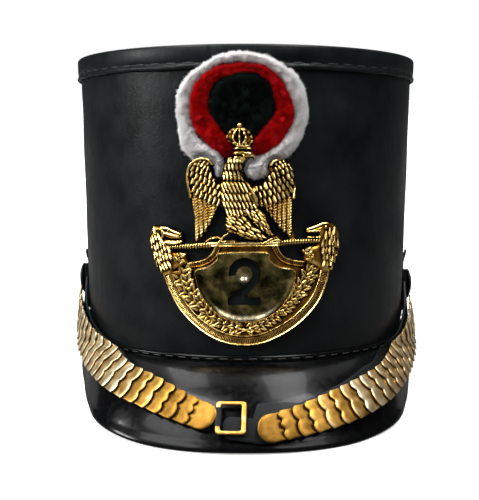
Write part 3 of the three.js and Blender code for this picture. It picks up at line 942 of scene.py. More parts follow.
@dataclass(frozen=True)
class HatFrame:
    """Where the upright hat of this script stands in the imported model."""

    matrix: Matrix

    @classmethod
    def of_packed(cls, nodes: dict[str, Piece]) -> "HatFrame":
        """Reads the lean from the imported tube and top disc.

        Args:
            nodes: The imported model's objects by name.

        Returns:
            The frame, whose matrix goes from millimetres on the upright hat to metres.
        """
        disc = nodes["crown_top"].data
        total = Vector((0.0, 0.0, 0.0))
        for face in disc.polygons:
            if face.normal.z > 0.9:
                total += face.normal * face.area
        tilt = math.atan2(total.y, total.z)
        wall = points_of(nodes["crown_wall"])
        lowest = wall[np.argmin(wall[:, 2])]
        radius = TubeShape().radius(0.0) / 1000.0
        place = Vector((lowest[0], lowest[1] - radius * math.cos(tilt), radius * math.sin(tilt)))
        turn = Matrix.Rotation(-tilt, 4, "X")
        return cls(Matrix.Translation(place) @ turn @ Matrix.Scale(0.001, 4))

    def stand(self, piece: Piece, finish: Finish, *nodes: str, angle: float = 40.0) -> Piece:
        """Args:
            piece: The mesh object, in millimetres on the upright hat.
            finish: Its finish.
            nodes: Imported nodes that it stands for.
            angle: Edges sharper than this, in degrees, stay crisp.

        Returns:
            The same object.
        """
        smooth(piece, angle)
        piece.data.transform(self.matrix)
        piece.data.materials.clear()
        piece.data.materials.append(finish.material())
        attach(piece, BODY_NAME)
        if nodes:
            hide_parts(*nodes)
        triangles = sum(len(p.vertices) - 2 for p in piece.data.polygons)
        logger.info("%s: %d triangles", piece.name, triangles)
        return piece


@dataclass(frozen=True)
class TubeShape:
    """Outside of the flared tube and of the peak that is sewn to it."""

    height: float = 172.0
    bottom_radius: float = 100.5
    flare: float = 0.0205
    wall: float = 2.4
    peak_seam: float = 4.0
    peak_fold: float = 1.0
    peak_thickness: float = 2.2
    peak_turn: float = 1.3
    # Peak outline: azimuth, reach past the tube, drop below the seam
    peak_edge: tuple[tuple[float, float, float], ...] = (
        (0, 36, 42.5), (15, 36.5, 42.3), (25, 36.5, 40.8), (34, 34, 38), (41, 29, 35.6),
        (49, 20.5, 32.3), (60, 11.5, 27.2), (68, 8, 22.3), (75, 6, 18.5), (82, 4.2, 14),
        (88, 3.2, 9), (94, 2.8, 4.6),
    )

    def radius(self, height: Array) -> Array:
        """Outside radius of the tube at a height."""
        return self.bottom_radius + self.flare * height

    @property
    def flange_radius(self) -> float:
        """Outside radius of the upright flange of the peak."""
        return self.bottom_radius + GAP + self.peak_thickness

    def peak_corners(self, azimuth: Array) -> tuple[Array, ...]:
        """Radius and height of the fold, the bend and the edge of the peak's outer face.

        Args:
            azimuth: Degrees round the axis from the front.

        Returns:
            Radius and height of each of the three, in turn.
        """
        turned = np.abs(azimuth - self.peak_turn)
        reach = look_up(self.peak_edge, 1, turned)
        drop = look_up(self.peak_edge, 2, turned)
        fold_radius = np.full_like(reach, self.flange_radius)
        fold_height = np.full_like(reach, self.peak_fold)
        edge_radius = self.bottom_radius + reach
        edge_height = self.peak_seam - drop
        bend_radius = mixed(fold_radius, edge_radius, 0.62)
        bend_height = mixed(fold_height, edge_height, 0.25)
        return fold_radius, fold_height, bend_radius, bend_height, edge_radius, edge_height

    def peak_face(self, azimuth: Array, share: Array) -> Array:
        """Radius and height of the peak's outer face at a share from fold to edge."""
        r0, z0, r1, z1, r2, z2 = self.peak_corners(azimuth)
        return np.stack([bowed(share, r0, r1, r2), bowed(share, z0, z1, z2)], axis=-1)

    def outer_radius(self, azimuth: Array, height: Array) -> Array:
        """Outside radius of tube or peak, eased over the flange, for what lies on them.

        Args:
            azimuth: Degrees round the axis from the front.
            height: Height over the bottom edge.

        Returns:
            One radius for each place.
        """
        eased = smoothstep(height, self.peak_seam, self.peak_seam + 14.0)
        above = mixed(self.flange_radius, self.radius(height), eased)
        r0, z0, r1, z1, r2, z2 = self.peak_corners(azimuth)
        a, b, c = z0 - 2 * z1 + z2, 2 * (z1 - z0), z0 - height
        root = np.sqrt(np.maximum(b * b - 4 * a * c, 0.0))
        share = np.where(c <= 0, 0.0, np.clip(2 * c / np.maximum(-b + root, 1e-9), 0.0, 1.0))
        return np.where(height > self.peak_fold, above, bowed(share, r0, r1, r2))


TUBE = TubeShape()


# Body


@dataclass
class Body:
    """The blocked leather tube, its top disc and the plain seam up its back."""

    columns: int = 288
    rows: int = 64
    edge_round: float = 0.9
    unevenness: float = 0.28
    top_thickness: float = 2.6
    seam_pitch: float = 6.0
    ripples: Ripples = field(default_factory=lambda: Ripples(11, 16, 150.0, 34.0))

    def build(self, frame: HatFrame) -> None:
        """Builds and dresses the tube and the top disc.

        Args:
            frame: Where the upright hat stands.
        """
        frame.stand(self.wall(), LEATHER, "crown_wall", angle=50.0)
        frame.stand(self.top(), LEATHER, "crown_top", angle=40.0)
        frame.stand(self.back_seam(), THREAD)

    def wall(self) -> Piece:
        """Tube with rounded edges, very slightly uneven as blocked leather is.

        Returns:
            The mesh object.
        """
        top, inner, round_ = TUBE.height, -TUBE.wall, self.edge_round
        heights = np.linspace(0.0, top, self.rows)
        section = np.array([
            *((height, 0.0) for height in heights[1:-1]),
            (top - round_, 0.0), (top - 0.3 * round_, -0.3 * round_), (top, -round_),
            (top, inner + 0.4), (top - 0.4, inner),
            *((height, inner) for height in heights[::-4][1:-1]),
            (0.4, inner), (0.0, inner + 0.4), (0.0, -0.5), (0.4, 0.0),
        ])
        height, offset = section.T[:, None, :]
        azimuth = np.linspace(-180.0, 180.0, self.columns, endpoint=False)[:, None]
        arc = np.radians(azimuth) * TUBE.bottom_radius
        faded = smoothstep(height, 2.0, 20.0) * (1.0 - smoothstep(height, 135.0, 156.0))
        sway = self.unevenness * faded * self.wave(arc, height)
        seam = -0.5 * np.exp(-((np.abs(azimuth) - 180.0) / 0.35) ** 2) * (offset > -1.0)
        radius = TUBE.radius(height) + offset + np.where(offset > -1.0, sway, 0.0) + seam
        return loft("crown_wall_leather", polar(azimuth, radius, height), Ends.JOINED)

    def wave(self, arc: Array, height: Array) -> Array:
        """Unevenness that closes at the back, where the arc's two ends meet.

        Args:
            arc: Length round the tube from the front.
            height: Height over the bottom edge.

        Returns:
            One number for each place.
        """
        half = math.pi * TUBE.bottom_radius
        share = smoothstep(np.abs(arc), 0.8 * half, half)
        return self.ripples.at(arc, height) * (1.0 - share)

    def top(self) -> Piece:
        """Top disc, let in below the rim and slightly sunk in the middle.

        Returns:
            The mesh object.
        """
        radius = TUBE.radius(TUBE.height) - TUBE.wall - GAP
        bpy.ops.mesh.primitive_cylinder_add(
            vertices=self.columns, radius=radius, depth=self.top_thickness, end_fill_type="NGON",
            location=(0.0, 0.0, TUBE.height - self.top_thickness / 2.0),
        )
        piece = named("crown_top_leather")
        bpy.ops.object.transform_apply(location=True, rotation=True, scale=True)
        for part in (0.985, 0.9, 0.6, 0.3, 0.1):
            self.inset_top(piece, radius * part)
        points = points_of(piece)
        reach = np.hypot(points[:, 0], points[:, 1]) / radius
        upper = points[:, 2] > TUBE.height - 0.5 * self.top_thickness
        sunk = 0.7 * (1.0 - smoothstep(reach, 0.0, 0.97))
        points[:, 2] -= np.where(upper, np.where(reach > 0.99, 0.3, sunk), 0.0)
        move_points(piece, points)
        edit(piece, outwards_again)
        return piece

    def inset_top(self, piece: Piece, radius: float) -> None:
        """Insets the disc's innermost upper face to a radius.

        Args:
            piece: The disc.
            radius: Radius of the new inner face.
        """
        uppers = [p for p in piece.data.polygons if p.normal.z > 0.9 and len(p.vertices) > 8]
        inner = uppers[0]
        widest = max(math.hypot(*piece.data.vertices[v].co.xy) for v in inner.vertices)
        thickness = max(widest - radius, 0.01)
        chosen = [face.index == inner.index for face in piece.data.polygons]
        on_faces(piece, chosen, lambda: bpy.ops.mesh.inset(thickness=thickness, depth=0.0))

    def back_seam(self) -> Piece:
        """Two rows of stitches beside the join up the back.

        Returns:
            The mesh object.
        """
        heights = np.arange(6.0, 156.0, self.seam_pitch)
        azimuths = 180.0 + np.repeat([-2.4, 2.4], len(heights))
        heights = np.tile(heights, 2)
        places = polar(azimuths, TUBE.radius(heights) - 0.05, heights)
        return stitched("back_seam_stitches", places, True, 4.2, 0.9)


@dataclass
class TopBand:
    """Leather band sewn round the top, puckered below its stitches."""

    bottom: float = 159.0
    thickness: float = 1.6
    corner: float = 1.4
    stitch_height: float = 162.4
    stitch_pitch: float = 10.0
    join_azimuth: float = -9.6
    columns: int = 420
    ripples: Ripples = field(default_factory=lambda: Ripples(23, 14, 60.0, 11.0))

    def build(self, frame: HatFrame) -> None:
        """Builds and dresses the band and its stitches."""
        frame.stand(self.band(), LEATHER, "top_band", angle=50.0)
        frame.stand(self.stitches(), THREAD)

    def profile(self) -> Array:
        """Section of the band as height and thickness, from the lower edge round.

        Returns:
            One row for each corner.
        """
        top = TUBE.height
        low, stitch, thick, corner = self.bottom, self.stitch_height, self.thickness, self.corner
        outer = [
            (low, 0.25), (low, 0.9), (low + 0.3, 1.45), (low + 1.0, thick + 0.2),
            (low + 2.0, thick + 0.1), (stitch - 0.6, thick - 0.35), (stitch, thick - 0.6),
            (stitch + 0.6, thick - 0.35), (stitch + 1.8, thick), (stitch + 4.0, thick),
            (top - corner, thick), (top - 0.5 * corner, thick - 0.2 * corner),
            (top - 0.15 * corner, thick - 0.55 * corner), (top, thick - 0.9 * corner),
        ]
        inner = [(top, 0.1), (top - 0.2, 0.0), (stitch, 0.0), (low + 0.3, 0.0)]
        return np.array(outer + inner)

    def band(self) -> Piece:
        """Band with a slightly wavy lower edge that puckers between the stitches.

        Returns:
            The mesh object.
        """
        height, thick = self.profile().T[:, None, :]
        azimuth = np.linspace(-180.0, 180.0, self.columns, endpoint=False)[:, None]
        arc = np.radians(azimuth) * TUBE.radius(self.bottom)
        half = math.pi * TUBE.radius(self.bottom)
        closes = 1.0 - smoothstep(np.abs(arc), 0.9 * half, half)
        below = 1.0 - smoothstep(height, self.stitch_height - 2.2, self.stitch_height + 0.4)
        pucker = np.sin(np.pi * arc / self.stitch_pitch) ** 2
        wave = self.ripples.at(arc, height) * closes
        out = np.where(thick > 0.5, below * (0.28 * pucker + 0.16 * wave), 0.0)
        drop = below * (0.35 * wave)
        join = -0.75 * np.exp(-((azimuth - self.join_azimuth) / 0.22) ** 2) * (thick > 0.5)
        radius = TUBE.radius(height) + GAP + thick + out + join
        return loft("top_band_leather", polar(azimuth, radius, height - drop), Ends.JOINED)

    def stitches(self) -> Piece:
        """Long stitches sunk in the band's groove.

        Returns:
            The mesh object.
        """
        radius = TUBE.radius(self.stitch_height) + GAP + self.thickness - 0.55
        count = int(2.0 * math.pi * radius / self.stitch_pitch)
        height = self.stitch_height + np.random.default_rng(5).uniform(-0.2, 0.2, count)
        places = polar(np.arange(count) * 360.0 / count, radius, height)
        return stitched("top_band_stitches", places, False, 6.4, 1.0)


@dataclass
class Peak:
    """Patent leather peak with a sewn flange and a rolled rim."""

    columns: int = 190
    rows: int = 34
    rim_thickness: float = 3.0
    rim_start: float = 0.945
    stitch_pitch: float = 8.0

    def build(self, frame: HatFrame) -> None:
        """Builds and dresses the peak and its stitches."""
        frame.stand(self.peak(), PATENT, "peak", angle=60.0)
        frame.stand(self.stitches(), THREAD)

    def peak(self) -> Piece:
        """Closed section swept round the front: flange, bowl, rolled rim and underside.

        Returns:
            The mesh object.
        """
        span = TUBE.peak_edge[-1][0]
        azimuth = np.linspace(TUBE.peak_turn - span, TUBE.peak_turn + span, self.columns)[:, None]
        thick = TUBE.peak_thickness
        inner_radius = TUBE.bottom_radius + GAP
        shares = np.linspace(0.0, 1.0, self.rows)[None, :]
        face = TUBE.peak_face(azimuth, shares)
        ahead = TUBE.peak_face(azimuth, np.minimum(shares + 0.01, 1.0))
        behind = TUBE.peak_face(azimuth, np.maximum(shares - 0.01, 0.0))
        along = unit(ahead - behind)
        out = leftwards(ahead - behind)
        bulge = (self.rim_thickness - thick) / 2.0
        roll = smoothstep(shares, self.rim_start, self.rim_start + 0.02)[..., None] * bulge
        ease = 0.8 * np.exp(-shares / 0.05)[..., None]
        outer = face + out * roll - 0.3 * ease
        inner = face - out * (thick + roll)
        inner[..., 0] = np.maximum(inner[..., 0], TUBE.bottom_radius - 2.5)
        inner[:, :3, 0] = np.maximum(inner[:, :3, 0], inner_radius)
        inner[:, :3, 1] = np.minimum(inner[:, :3, 1], TUBE.peak_fold - 0.3)
        angles = np.radians(np.linspace(80.0, -80.0, 7))[:, None]
        middle = face[:, -1:] - out[:, -1:] * thick / 2.0
        half = thick / 2.0 + bulge
        rim = middle + half * (out[:, -1:] * np.sin(angles) + along[:, -1:] * (0.8 * np.cos(angles)))
        flange = TUBE.flange_radius
        top = TUBE.peak_seam
        upper = np.array([
            (inner_radius, TUBE.peak_fold), (inner_radius, top - 0.5), (inner_radius + 0.4, top),
            (flange - 0.9, top), (flange - 0.2, top - 0.35), (flange + 0.15, top - 1.0),
            (flange + 0.1, top - 1.8),
        ])
        upper = np.broadcast_to(upper, (self.columns, *upper.shape))
        loop = np.concatenate([upper, outer, rim, inner[:, ::-1]], axis=1)
        return loft("peak_patent_leather", polar(azimuth, loop[..., 0], loop[..., 1]), Ends.CAPPED)

    def stitches(self) -> Piece:
        """Row of stitches just below the flange's upper edge.

        Returns:
            The mesh object.
        """
        radius = TUBE.flange_radius + 0.12
        azimuth = np.arange(-86.0, 88.0, math.degrees(self.stitch_pitch / radius))
        height = 2.1 + np.random.default_rng(8).uniform(-0.15, 0.15, len(azimuth))
        return stitched("peak_seam_stitches", polar(azimuth, radius, height), False, 5.0, 0.8)


# Chin scales


@dataclass(frozen=True)
class ChinSizes:
    """Sizes that both rows of chin scales share."""

    pitch: float = 7.9
    overlap: float = 3.0
    thickness: float = 0.9
    rise: float = 1.6
    half_width: float = 10.4
    tip_half_width: float = 7.6
    taper: float = 62.0
    lobe_depth: float = 1.9
    tongue_reach: float = 12.4
    tongue_depth: float = 7.0
    crown: float = 34.0
    strap_thickness: float = 1.8
    strap_depth: float = 5.72
    slack: float = 0.85


CHIN = ChinSizes()


class Route:
    """Curve over the tube and the peak that a strap and its scales follow."""

    DIVISIONS = 200

    def __init__(self, rows: Sequence[Sequence[float]], beyond_scales: float) -> None:
        """Prepares the curve.

        Args:
            rows: Azimuth, height, radius and lean of the scales' visible face, side to front.
            beyond_scales: Length of strap past the tip of the last scale.
        """
        self.rows = np.asarray(rows, dtype=float)
        self.side = math.copysign(1.0, self.rows[0, 0])
        self.knots = polar(self.rows[:, 0], self.rows[:, 2], self.rows[:, 1])
        steps = np.linspace(0.0, 1.0, self.DIVISIONS + 1)
        points = self.at(steps)
        lengths = np.linalg.norm(np.diff(points, axis=0), axis=1)
        self.sums = np.concatenate([[0.0], np.cumsum(lengths)])
        self.length = float(self.sums[-1])
        self.tip = self.length - beyond_scales

    def at(self, steps: Array) -> Array:
        """Points of the centripetal curve at shares of its knots.

        Args:
            steps: Shares from 0 to 1.

        Returns:
            One point for each share.
        """
        last = len(self.knots) - 1
        place = np.clip(steps, 0.0, 1.0) * last
        index = np.minimum(np.floor(place).astype(int), last - 1)
        weight = (place - index)[:, None]
        before = 2.0 * self.knots[0] - self.knots[1]
        after = 2.0 * self.knots[-1] - self.knots[-2]
        padded = np.vstack([before, self.knots, after])
        p0, p1, p2, p3 = (padded[index + offset] for offset in range(4))
        d0 = np.sum((p1 - p0) ** 2, axis=1, keepdims=True) ** 0.25
        d1 = np.sum((p2 - p1) ** 2, axis=1, keepdims=True) ** 0.25
        d2 = np.sum((p3 - p2) ** 2, axis=1, keepdims=True) ** 0.25
        t1 = ((p1 - p0) / d0 - (p2 - p0) / (d0 + d1) + (p2 - p1) / d1) * d1
        t2 = ((p2 - p1) / d1 - (p3 - p1) / (d1 + d2) + (p3 - p2) / d2) * d1
        cubic = 2.0 * p1 - 2.0 * p2 + t1 + t2
        square = -3.0 * p1 + 3.0 * p2 - 2.0 * t1 - t2
        return p1 + t1 * weight + square * weight**2 + cubic * weight**3

    def frames(self, stations: Array) -> tuple[Array, ...]:
        """Place, along, outward and upper directions at distances from the start.

        Args:
            stations: The distances.

        Returns:
            Four arrays with a row for each distance.
        """
        inside = np.clip(stations, 0.0, self.length)
        steps = np.interp(inside, self.sums, np.linspace(0.0, 1.0, self.DIVISIONS + 1))
        place = self.at(steps)
        along = unit(self.at(np.minimum(steps + 1e-4, 1.0)) - self.at(np.maximum(steps - 1e-4, 0.0)))
        row = steps * (len(self.rows) - 1)
        lean = np.radians(np.interp(row, np.arange(len(self.rows)), self.rows[:, 3]))
        azimuth = np.degrees(np.arctan2(place[:, 0], -place[:, 1]))
        outwards = polar(azimuth, np.cos(lean), np.sin(lean))
        outwards = unit(outwards - along * np.sum(outwards * along, axis=1, keepdims=True))
        upper = -self.side * np.cross(outwards, along)
        return place, along, outwards, upper

    def points(self, stations: Array, across: Array, depth: Array) -> Array:
        """Points over the route.

        Args:
            stations: Distance from the start.
            across: Distance towards the upper side.
            depth: Distance below the visible face of the scales.

        Returns:
            Points, pushed outwards where the strap would touch the tube or the peak.
        """
        shape = np.broadcast(stations, across, depth).shape
        station = np.broadcast_to(stations, shape).reshape(-1)
        side = np.broadcast_to(across, shape).reshape(-1)[:, None]
        down = np.broadcast_to(depth, shape).reshape(-1)[:, None]
        place, along, outwards, upper = self.frames(station)
        beyond = (station - np.clip(station, 0.0, self.length))[:, None]
        sag = side**2 / (2.0 * CHIN.crown)
        base = place + along * beyond + upper * side - outwards * sag
        inner = base - outwards * CHIN.strap_depth
        azimuth = np.degrees(np.arctan2(inner[:, 0], -inner[:, 1]))
        clear = TUBE.outer_radius(azimuth, inner[:, 2]) + GAP + CHIN.slack
        short = np.maximum(0.0, clear - np.hypot(inner[:, 0], inner[:, 1]))
        return (base - outwards * down + polar(azimuth, short, 0.0)).reshape(*shape, 3)


@dataclass
class ChinRow:
    """One row of brass scales on its leather strap."""

    side: Side
    route_rows: tuple[tuple[float, float, float, float], ...]
    leather: tuple[tuple[float, float, float], ...]
    beyond_scales: float
    count: int
    columns: int = 22
    tongue_columns: int = 26
    rows: int = 9

    def build(self, frame: HatFrame) -> Route:
        """Builds and dresses the strap and its scales.

        Returns:
            The route, which the boss is placed by.
        """
        route = Route(self.route_rows, self.beyond_scales)
        frame.stand(self.strap(route), LEATHER, f"strap_{self.side.value}", angle=50.0)
        rng = np.random.default_rng(31 + self.side.sign)
        for index in range(self.count):
            name = f"scale_{self.side.value}_{index + 1:02d}"
            piece = self.scale(f"{name}_brass", route, self.count - 1 - index, rng)
            frame.stand(piece, SCALE_BRASS, name, angle=35.0)
        return route

    def strap(self, route: Route) -> Piece:
        """Leather backing with rounded edges, wider above the scales where it sags.

        Args:
            route: The route of the row.

        Returns:
            The mesh object.
        """
        stations = np.linspace(0.0, route.length, 150)
        from_tip = route.tip - stations
        table = np.asarray(self.leather)
        low = np.interp(from_tip, table[:, 0], table[:, 1])
        high = np.interp(from_tip, table[:, 0], table[:, 2])
        end = dome(1.0 - np.minimum(route.length - stations, 4.0) / 4.0, 0.15)
        low, high = low * end, high * end
        section = rounded_section(2.0, CHIN.strap_thickness, 0.5, 3)
        corners = [(float(x > 0.0), x - math.copysign(1.0, x), y) for x, y in section]
        shares = np.linspace(0.1, 0.9, 7)
        outer = [(share, 0.0, CHIN.strap_thickness / 2.0) for share in shares[::-1]]
        inner = [(share, 0.0, -CHIN.strap_thickness / 2.0) for share in shares]
        ring = np.array(corners[:4] + outer + corners[4:12] + inner + corners[12:])
        across = mixed(-low[:, None], high[:, None], ring[None, :, 0]) + ring[None, :, 1]
        depth = CHIN.strap_depth - CHIN.strap_thickness / 2.0 - ring[None, :, 2]
        points = route.points(stations[:, None], across, depth)
        return loft(f"strap_{self.side.value}_leather", points, Ends.CAPPED)

    def scale(self, name: str, route: Route, from_tip: int, rng: np.random.Generator) -> Piece:
        """One scale, its lobed free edge over the root of the next one.

        Args:
            name: Name of the new object.
            route: The route it lies on.
            from_tip: Its number counted back from the tip, 0 for the rounded last one.
            rng: Source of its small unevenness.

        Returns:
            The scale, with its bevelled edges, and its painted shadow and painted shading marked.
        """
        visible = CHIN.pitch if from_tip else CHIN.tongue_reach
        free = CHIN.tongue_reach + (from_tip - 1) * CHIN.pitch if from_tip else 0.0
        reach = visible + CHIN.overlap
        lobes = 1 if from_tip == 0 else 3 if from_tip % 2 else 2
        root = route.tip - free - reach
        taper = smoothstep(free + reach / 2.0, 0.0, CHIN.taper)
        half = float(mixed(CHIN.tip_half_width, CHIN.half_width, taper))
        lobe_depth = CHIN.lobe_depth if lobes > 1 else CHIN.tongue_depth
        twist = rng.uniform(-0.25, 0.25)
        lift = rng.uniform(-0.12, 0.2)
        piece, u, v = grid(name, self.columns if lobes > 1 else self.tongue_columns, self.rows)
        wave = self.lobed(u, lobes) if lobes > 1 else dome(2.0 * u - 1.0)
        dip = lobe_depth * (1.0 - wave)
        across = mixed(-half, half, u) * mixed(0.94, 1.0, v)
        puff = 0.14 * wave * np.sin(np.pi * v * 0.85) * v
        curl = -0.25 * smoothstep(v, 0.86, 1.0)
        turn = twist * (u - 0.5) * v
        rise = (CHIN.rise + lift * v) * v * (reach - dip) / reach
        depth = CHIN.rise - rise - puff - curl - turn
        move_points(piece, route.points(root + v * (reach - dip), across, depth))
        # Painted shadow: darkest just past the lobed edge of the scale that lies over this one, with
        # a painted highlight towards its own free edge.
        cover = CHIN.overlap - CHIN.lobe_depth * (1.0 - self.lobed(u, 5 - lobes if lobes > 1 else 3))
        bare = v * (reach - (dip if lobes > 1 else 0.0)) - cover
        relief = 0.7 * smoothstep(bare, 0.4, 1.9) + 0.12 * smoothstep(v, 0.5, 0.95)
        # Painted shading: darker towards the tip, by a different amount in each row, as each side is
        # lit.
        near, far = (0.36, 1.05) if self.side is Side.LEFT else (0.46, 0.98)
        relief = relief * mixed(near, far, smoothstep(from_tip, 0.0, 9.0))
        mark(piece, "relief", relief + rng.uniform(-0.07, 0.07))
        _, _, outwards, _ = route.frames(np.array([root + reach / 2.0]))
        normal = sum(np.array(face.normal) * face.area for face in piece.data.polygons)
        if float(normal @ outwards[0]) < 0.0:
            edit(piece, bpy.ops.mesh.flip_normals)
        finished(piece, "SOLIDIFY", thickness=CHIN.thickness, offset=-1.0)
        finished(
            piece, "BEVEL", width=0.22, segments=2, limit_method="ANGLE",
            angle_limit=math.radians(50.0),
        )
        edit(piece, outwards_again)
        return piece

    def lobed(self, share: Array, lobes: int) -> Array:
        """Wave of a lobed edge, 1 at a lobe's middle and 0 between two lobes."""
        return np.abs(np.sin(np.pi * lobes * share)) ** 0.7


LEFT_ROW = ChinRow(
    side=Side.LEFT,
    route_rows=(
        (-92, 43, 109.2, 0), (-91.5, 31, 108.7, 0), (-85, 21, 108.8, 2), (-78, 13.5, 108.8, 6),
        (-69, 8, 108.6, 12), (-59, 3.5, 109.2, 22), (-49.5, 0, 111.4, 32), (-41, -3, 115.4, 42),
        (-33, -6.3, 119.8, 46), (-24, -10.2, 124.2, 42), (-14.5, -16.4, 129.2, 36),
        (-5.6, -22.4, 133, 33),
    ),
    leather=((-3.2, 5, 5), (1, 6, 6), (20, 7.6, 8.6), (62, 9.4, 11), (170, 9, 9.6)),
    beyond_scales=1.2,
    count=21,
)
RIGHT_ROW = ChinRow(
    side=Side.RIGHT,
    route_rows=(
        (93, 39, 109.2, 0), (92.5, 28, 108.7, 0), (86, 18, 108.8, 2), (79, 10, 109, 6),
        (69, 3.6, 109, 12), (59.5, -1.4, 110.4, 24), (50.5, -4.9, 114.4, 36), (43, -7.6, 119, 44),
        (34, -11.6, 124.8, 41), (25.5, -16, 129.4, 37), (18, -20, 132.2, 35),
        (11.5, -23.3, 134.3, 32), (4.2, -26, 135.6, 31), (-4.4, -24.4, 134.6, 32),
    ),
    leather=(
        (-20, 6.2, 6.2), (-2.4, 6.4, 6.6), (-0.8, 7, 16.4), (9, 7.4, 16.4), (18, 7.8, 13.8),
        (28, 8.4, 10.4), (60, 9.4, 13), (84, 9.4, 16.4), (112, 9.4, 14), (135, 9.2, 10.4),
        (175, 9, 9.6),
    ),
    beyond_scales=18.0,
    count=22,
)


@dataclass
class Buckle:
    """Square brass buckle of the chin strap, with a leather keeper round its left bar."""

    azimuth: float = -2.6
    height: float = -22.8
    radius: float = 132.2
    lean: float = 32.0
    width: float = 16.2
    length: float = 17.6
    opening_width: float = 10.8
    opening_length: float = 13.8
    thickness: float = 2.2
    corner: float = 2.0

    def at(self, x: Array, y: Array, z: Array) -> Array:
        """Points across, up and outwards from the buckle's middle.

        Args:
            x: Distances across.
            y: Distances up.
            z: Distances outwards.

        Returns:
            Points of the upright hat.
        """
        lean = math.radians(self.lean)
        level, rise = polar(self.azimuth, 1.0, 0.0), np.array([0.0, 0.0, 1.0])
        outwards = level * math.cos(lean) + rise * math.sin(lean)
        up = rise * math.cos(lean) - level * math.sin(lean)
        places = np.stack(np.broadcast_arrays(x, y, z), axis=-1)
        axes = np.stack([np.cross(up, outwards), up, outwards])
        return polar(self.azimuth, self.radius, self.height) + places @ axes

    def build(self, frame: HatFrame) -> None:
        """Builds and dresses the frame of the buckle and its keeper."""
        frame.stand(self.frame_piece(), SCALE_BRASS, "buckle", angle=40.0)
        frame.stand(self.keeper(), LEATHER, angle=50.0)

    def frame_piece(self) -> Piece:
        """Frame swept from a rounded bar round a rounded rectangle.

        Returns:
            The mesh object.
        """
        outer = rounded_section(self.width, self.length, self.corner, 6)[:, None]
        inner = rounded_section(self.opening_width, self.opening_length, 1.0, 6)[:, None]
        wide, high = (rounded_section(1.0, 1.0, 0.24, 3) + 0.5).T
        flat = mixed(inner, outer, wide[:, None])
        rings = self.at(flat[..., 0], flat[..., 1], high * self.thickness)
        # Painted shade: the bar is marked darker low down than on its top.
        relief = np.broadcast_to(0.3 + 0.28 * high, rings.shape[:2])
        return loft("buckle_brass", rings, Ends.JOINED, relief)

    def keeper(self) -> Piece:
        """Fold of leather that holds the buckle's left bar.

        Returns:
            The mesh object.
        """
        bar = -(self.width + self.opening_width) / 4.0
        stations = np.linspace(-4.9, 4.9, 9)[:, None] + 0.3
        x, y = rounded_section(4.1, 4.2, 1.3, 4).T
        return loft("buckle_keeper_leather", self.at(bar + x + 0.2, stations, 0.9 + y), Ends.CAPPED)


@dataclass
class Boss:
    """Low leather covered button that fastens the top of a strap."""

    side: Side
    radius: float = 9.8
    thickness: float = 3.3
    station: float = 9.6

    def build(self, frame: HatFrame, route: Route) -> None:
        """Builds and dresses the boss on its strap.

        Args:
            frame: Where the upright hat stands.
            route: The route of the row.
        """
        _, along, outwards, _ = route.frames(np.array([self.station]))
        depth = CHIN.strap_depth - CHIN.strap_thickness - GAP - 0.35
        foot = route.points(np.array([self.station]), np.array([0.0]), np.array([depth]))[0]
        up, out = -along[0], outwards[0]
        profile = np.array([
            (0.93, 0), (0.99, 0.1), (1, 0.24), (0.96, 0.4), (0.88, 0.52), (0.82, 0.56),
            (0.77, 0.62), (0.64, 0.8), (0.46, 0.92), (0.24, 0.99), (0.05, 1),
        ])
        reach, rise = (profile * (self.radius, self.thickness)).T[..., None, None]
        turns = np.radians(np.arange(48) * 7.5)[:, None]
        spokes = np.cross(up, out) * np.cos(turns) + up * np.sin(turns)
        rings = foot + spokes * reach + out * rise
        piece = loft(f"boss_{self.side.value}_leather", rings, Ends.CAPPED)
        frame.stand(piece, LEATHER, f"boss_{self.side.value}", angle=50.0)


@dataclass
class Tab:
    """Small leather tab that stands up behind the strap at the side."""

    side: Side
    azimuth: float = 89.0
    half_width: float = 4.4
    thickness: float = 0.7

    def build(self, frame: HatFrame) -> None:
        """Builds and dresses the tab.

        Args:
            frame: Where the upright hat stands.
        """
        heights = np.linspace(10.0, 53.0, 30)[:, None]
        lean = 1.6 * smoothstep(heights, 44.0, 53.0)
        half = self.half_width * dome(np.maximum(heights - 49.0, 0.0) / 4.6, 0.12)
        x, y = rounded_section(2.0, self.thickness, 0.2, 2).T
        radius = TUBE.radius(heights) + GAP + lean + self.thickness / 2.0 + y
        azimuth = self.side.sign * self.azimuth + np.degrees(x * half / radius)
        rings = polar(azimuth, radius, heights)
        piece = loft(f"tab_{self.side.value}_leather", rings, Ends.CAPPED)
        frame.stand(piece, LEATHER, f"tab_{self.side.value}", angle=50.0)


# Gilt plate, drawn unrolled: x along the arc, y the height, both in millimetres


def rounded_outline(points: Outline, steps: int = 4, closed: bool = True) -> Array:
    """Smooth curve through a row of points.

    Args:
        points: Corners of the drawn shape.
        steps: Cells between two corners.
        closed: Whether the last corner joins the first.

    Returns:
        Points of the curve.
    """
    knots = np.asarray(points, dtype=float)
    if closed:
        padded = np.vstack([knots[-1], knots, knots[:2]])
    else:
        padded = np.vstack([2 * knots[0] - knots[1], knots, 2 * knots[-1] - knots[-2]])
    before, start, nxt, after = (padded[i : len(padded) - 3 + i, None] for i in range(4))
    t = np.arange(steps)[:, None] / steps
    curve = 0.5 * (
        2 * start + (nxt - before) * t + (2 * before - 5 * start + 4 * nxt - after) * t**2
        + (3 * start - before - 3 * nxt + after) * t**3
    )
    curve = curve.reshape(-1, 2)
    return curve if closed else np.vstack([curve, knots[-1]])


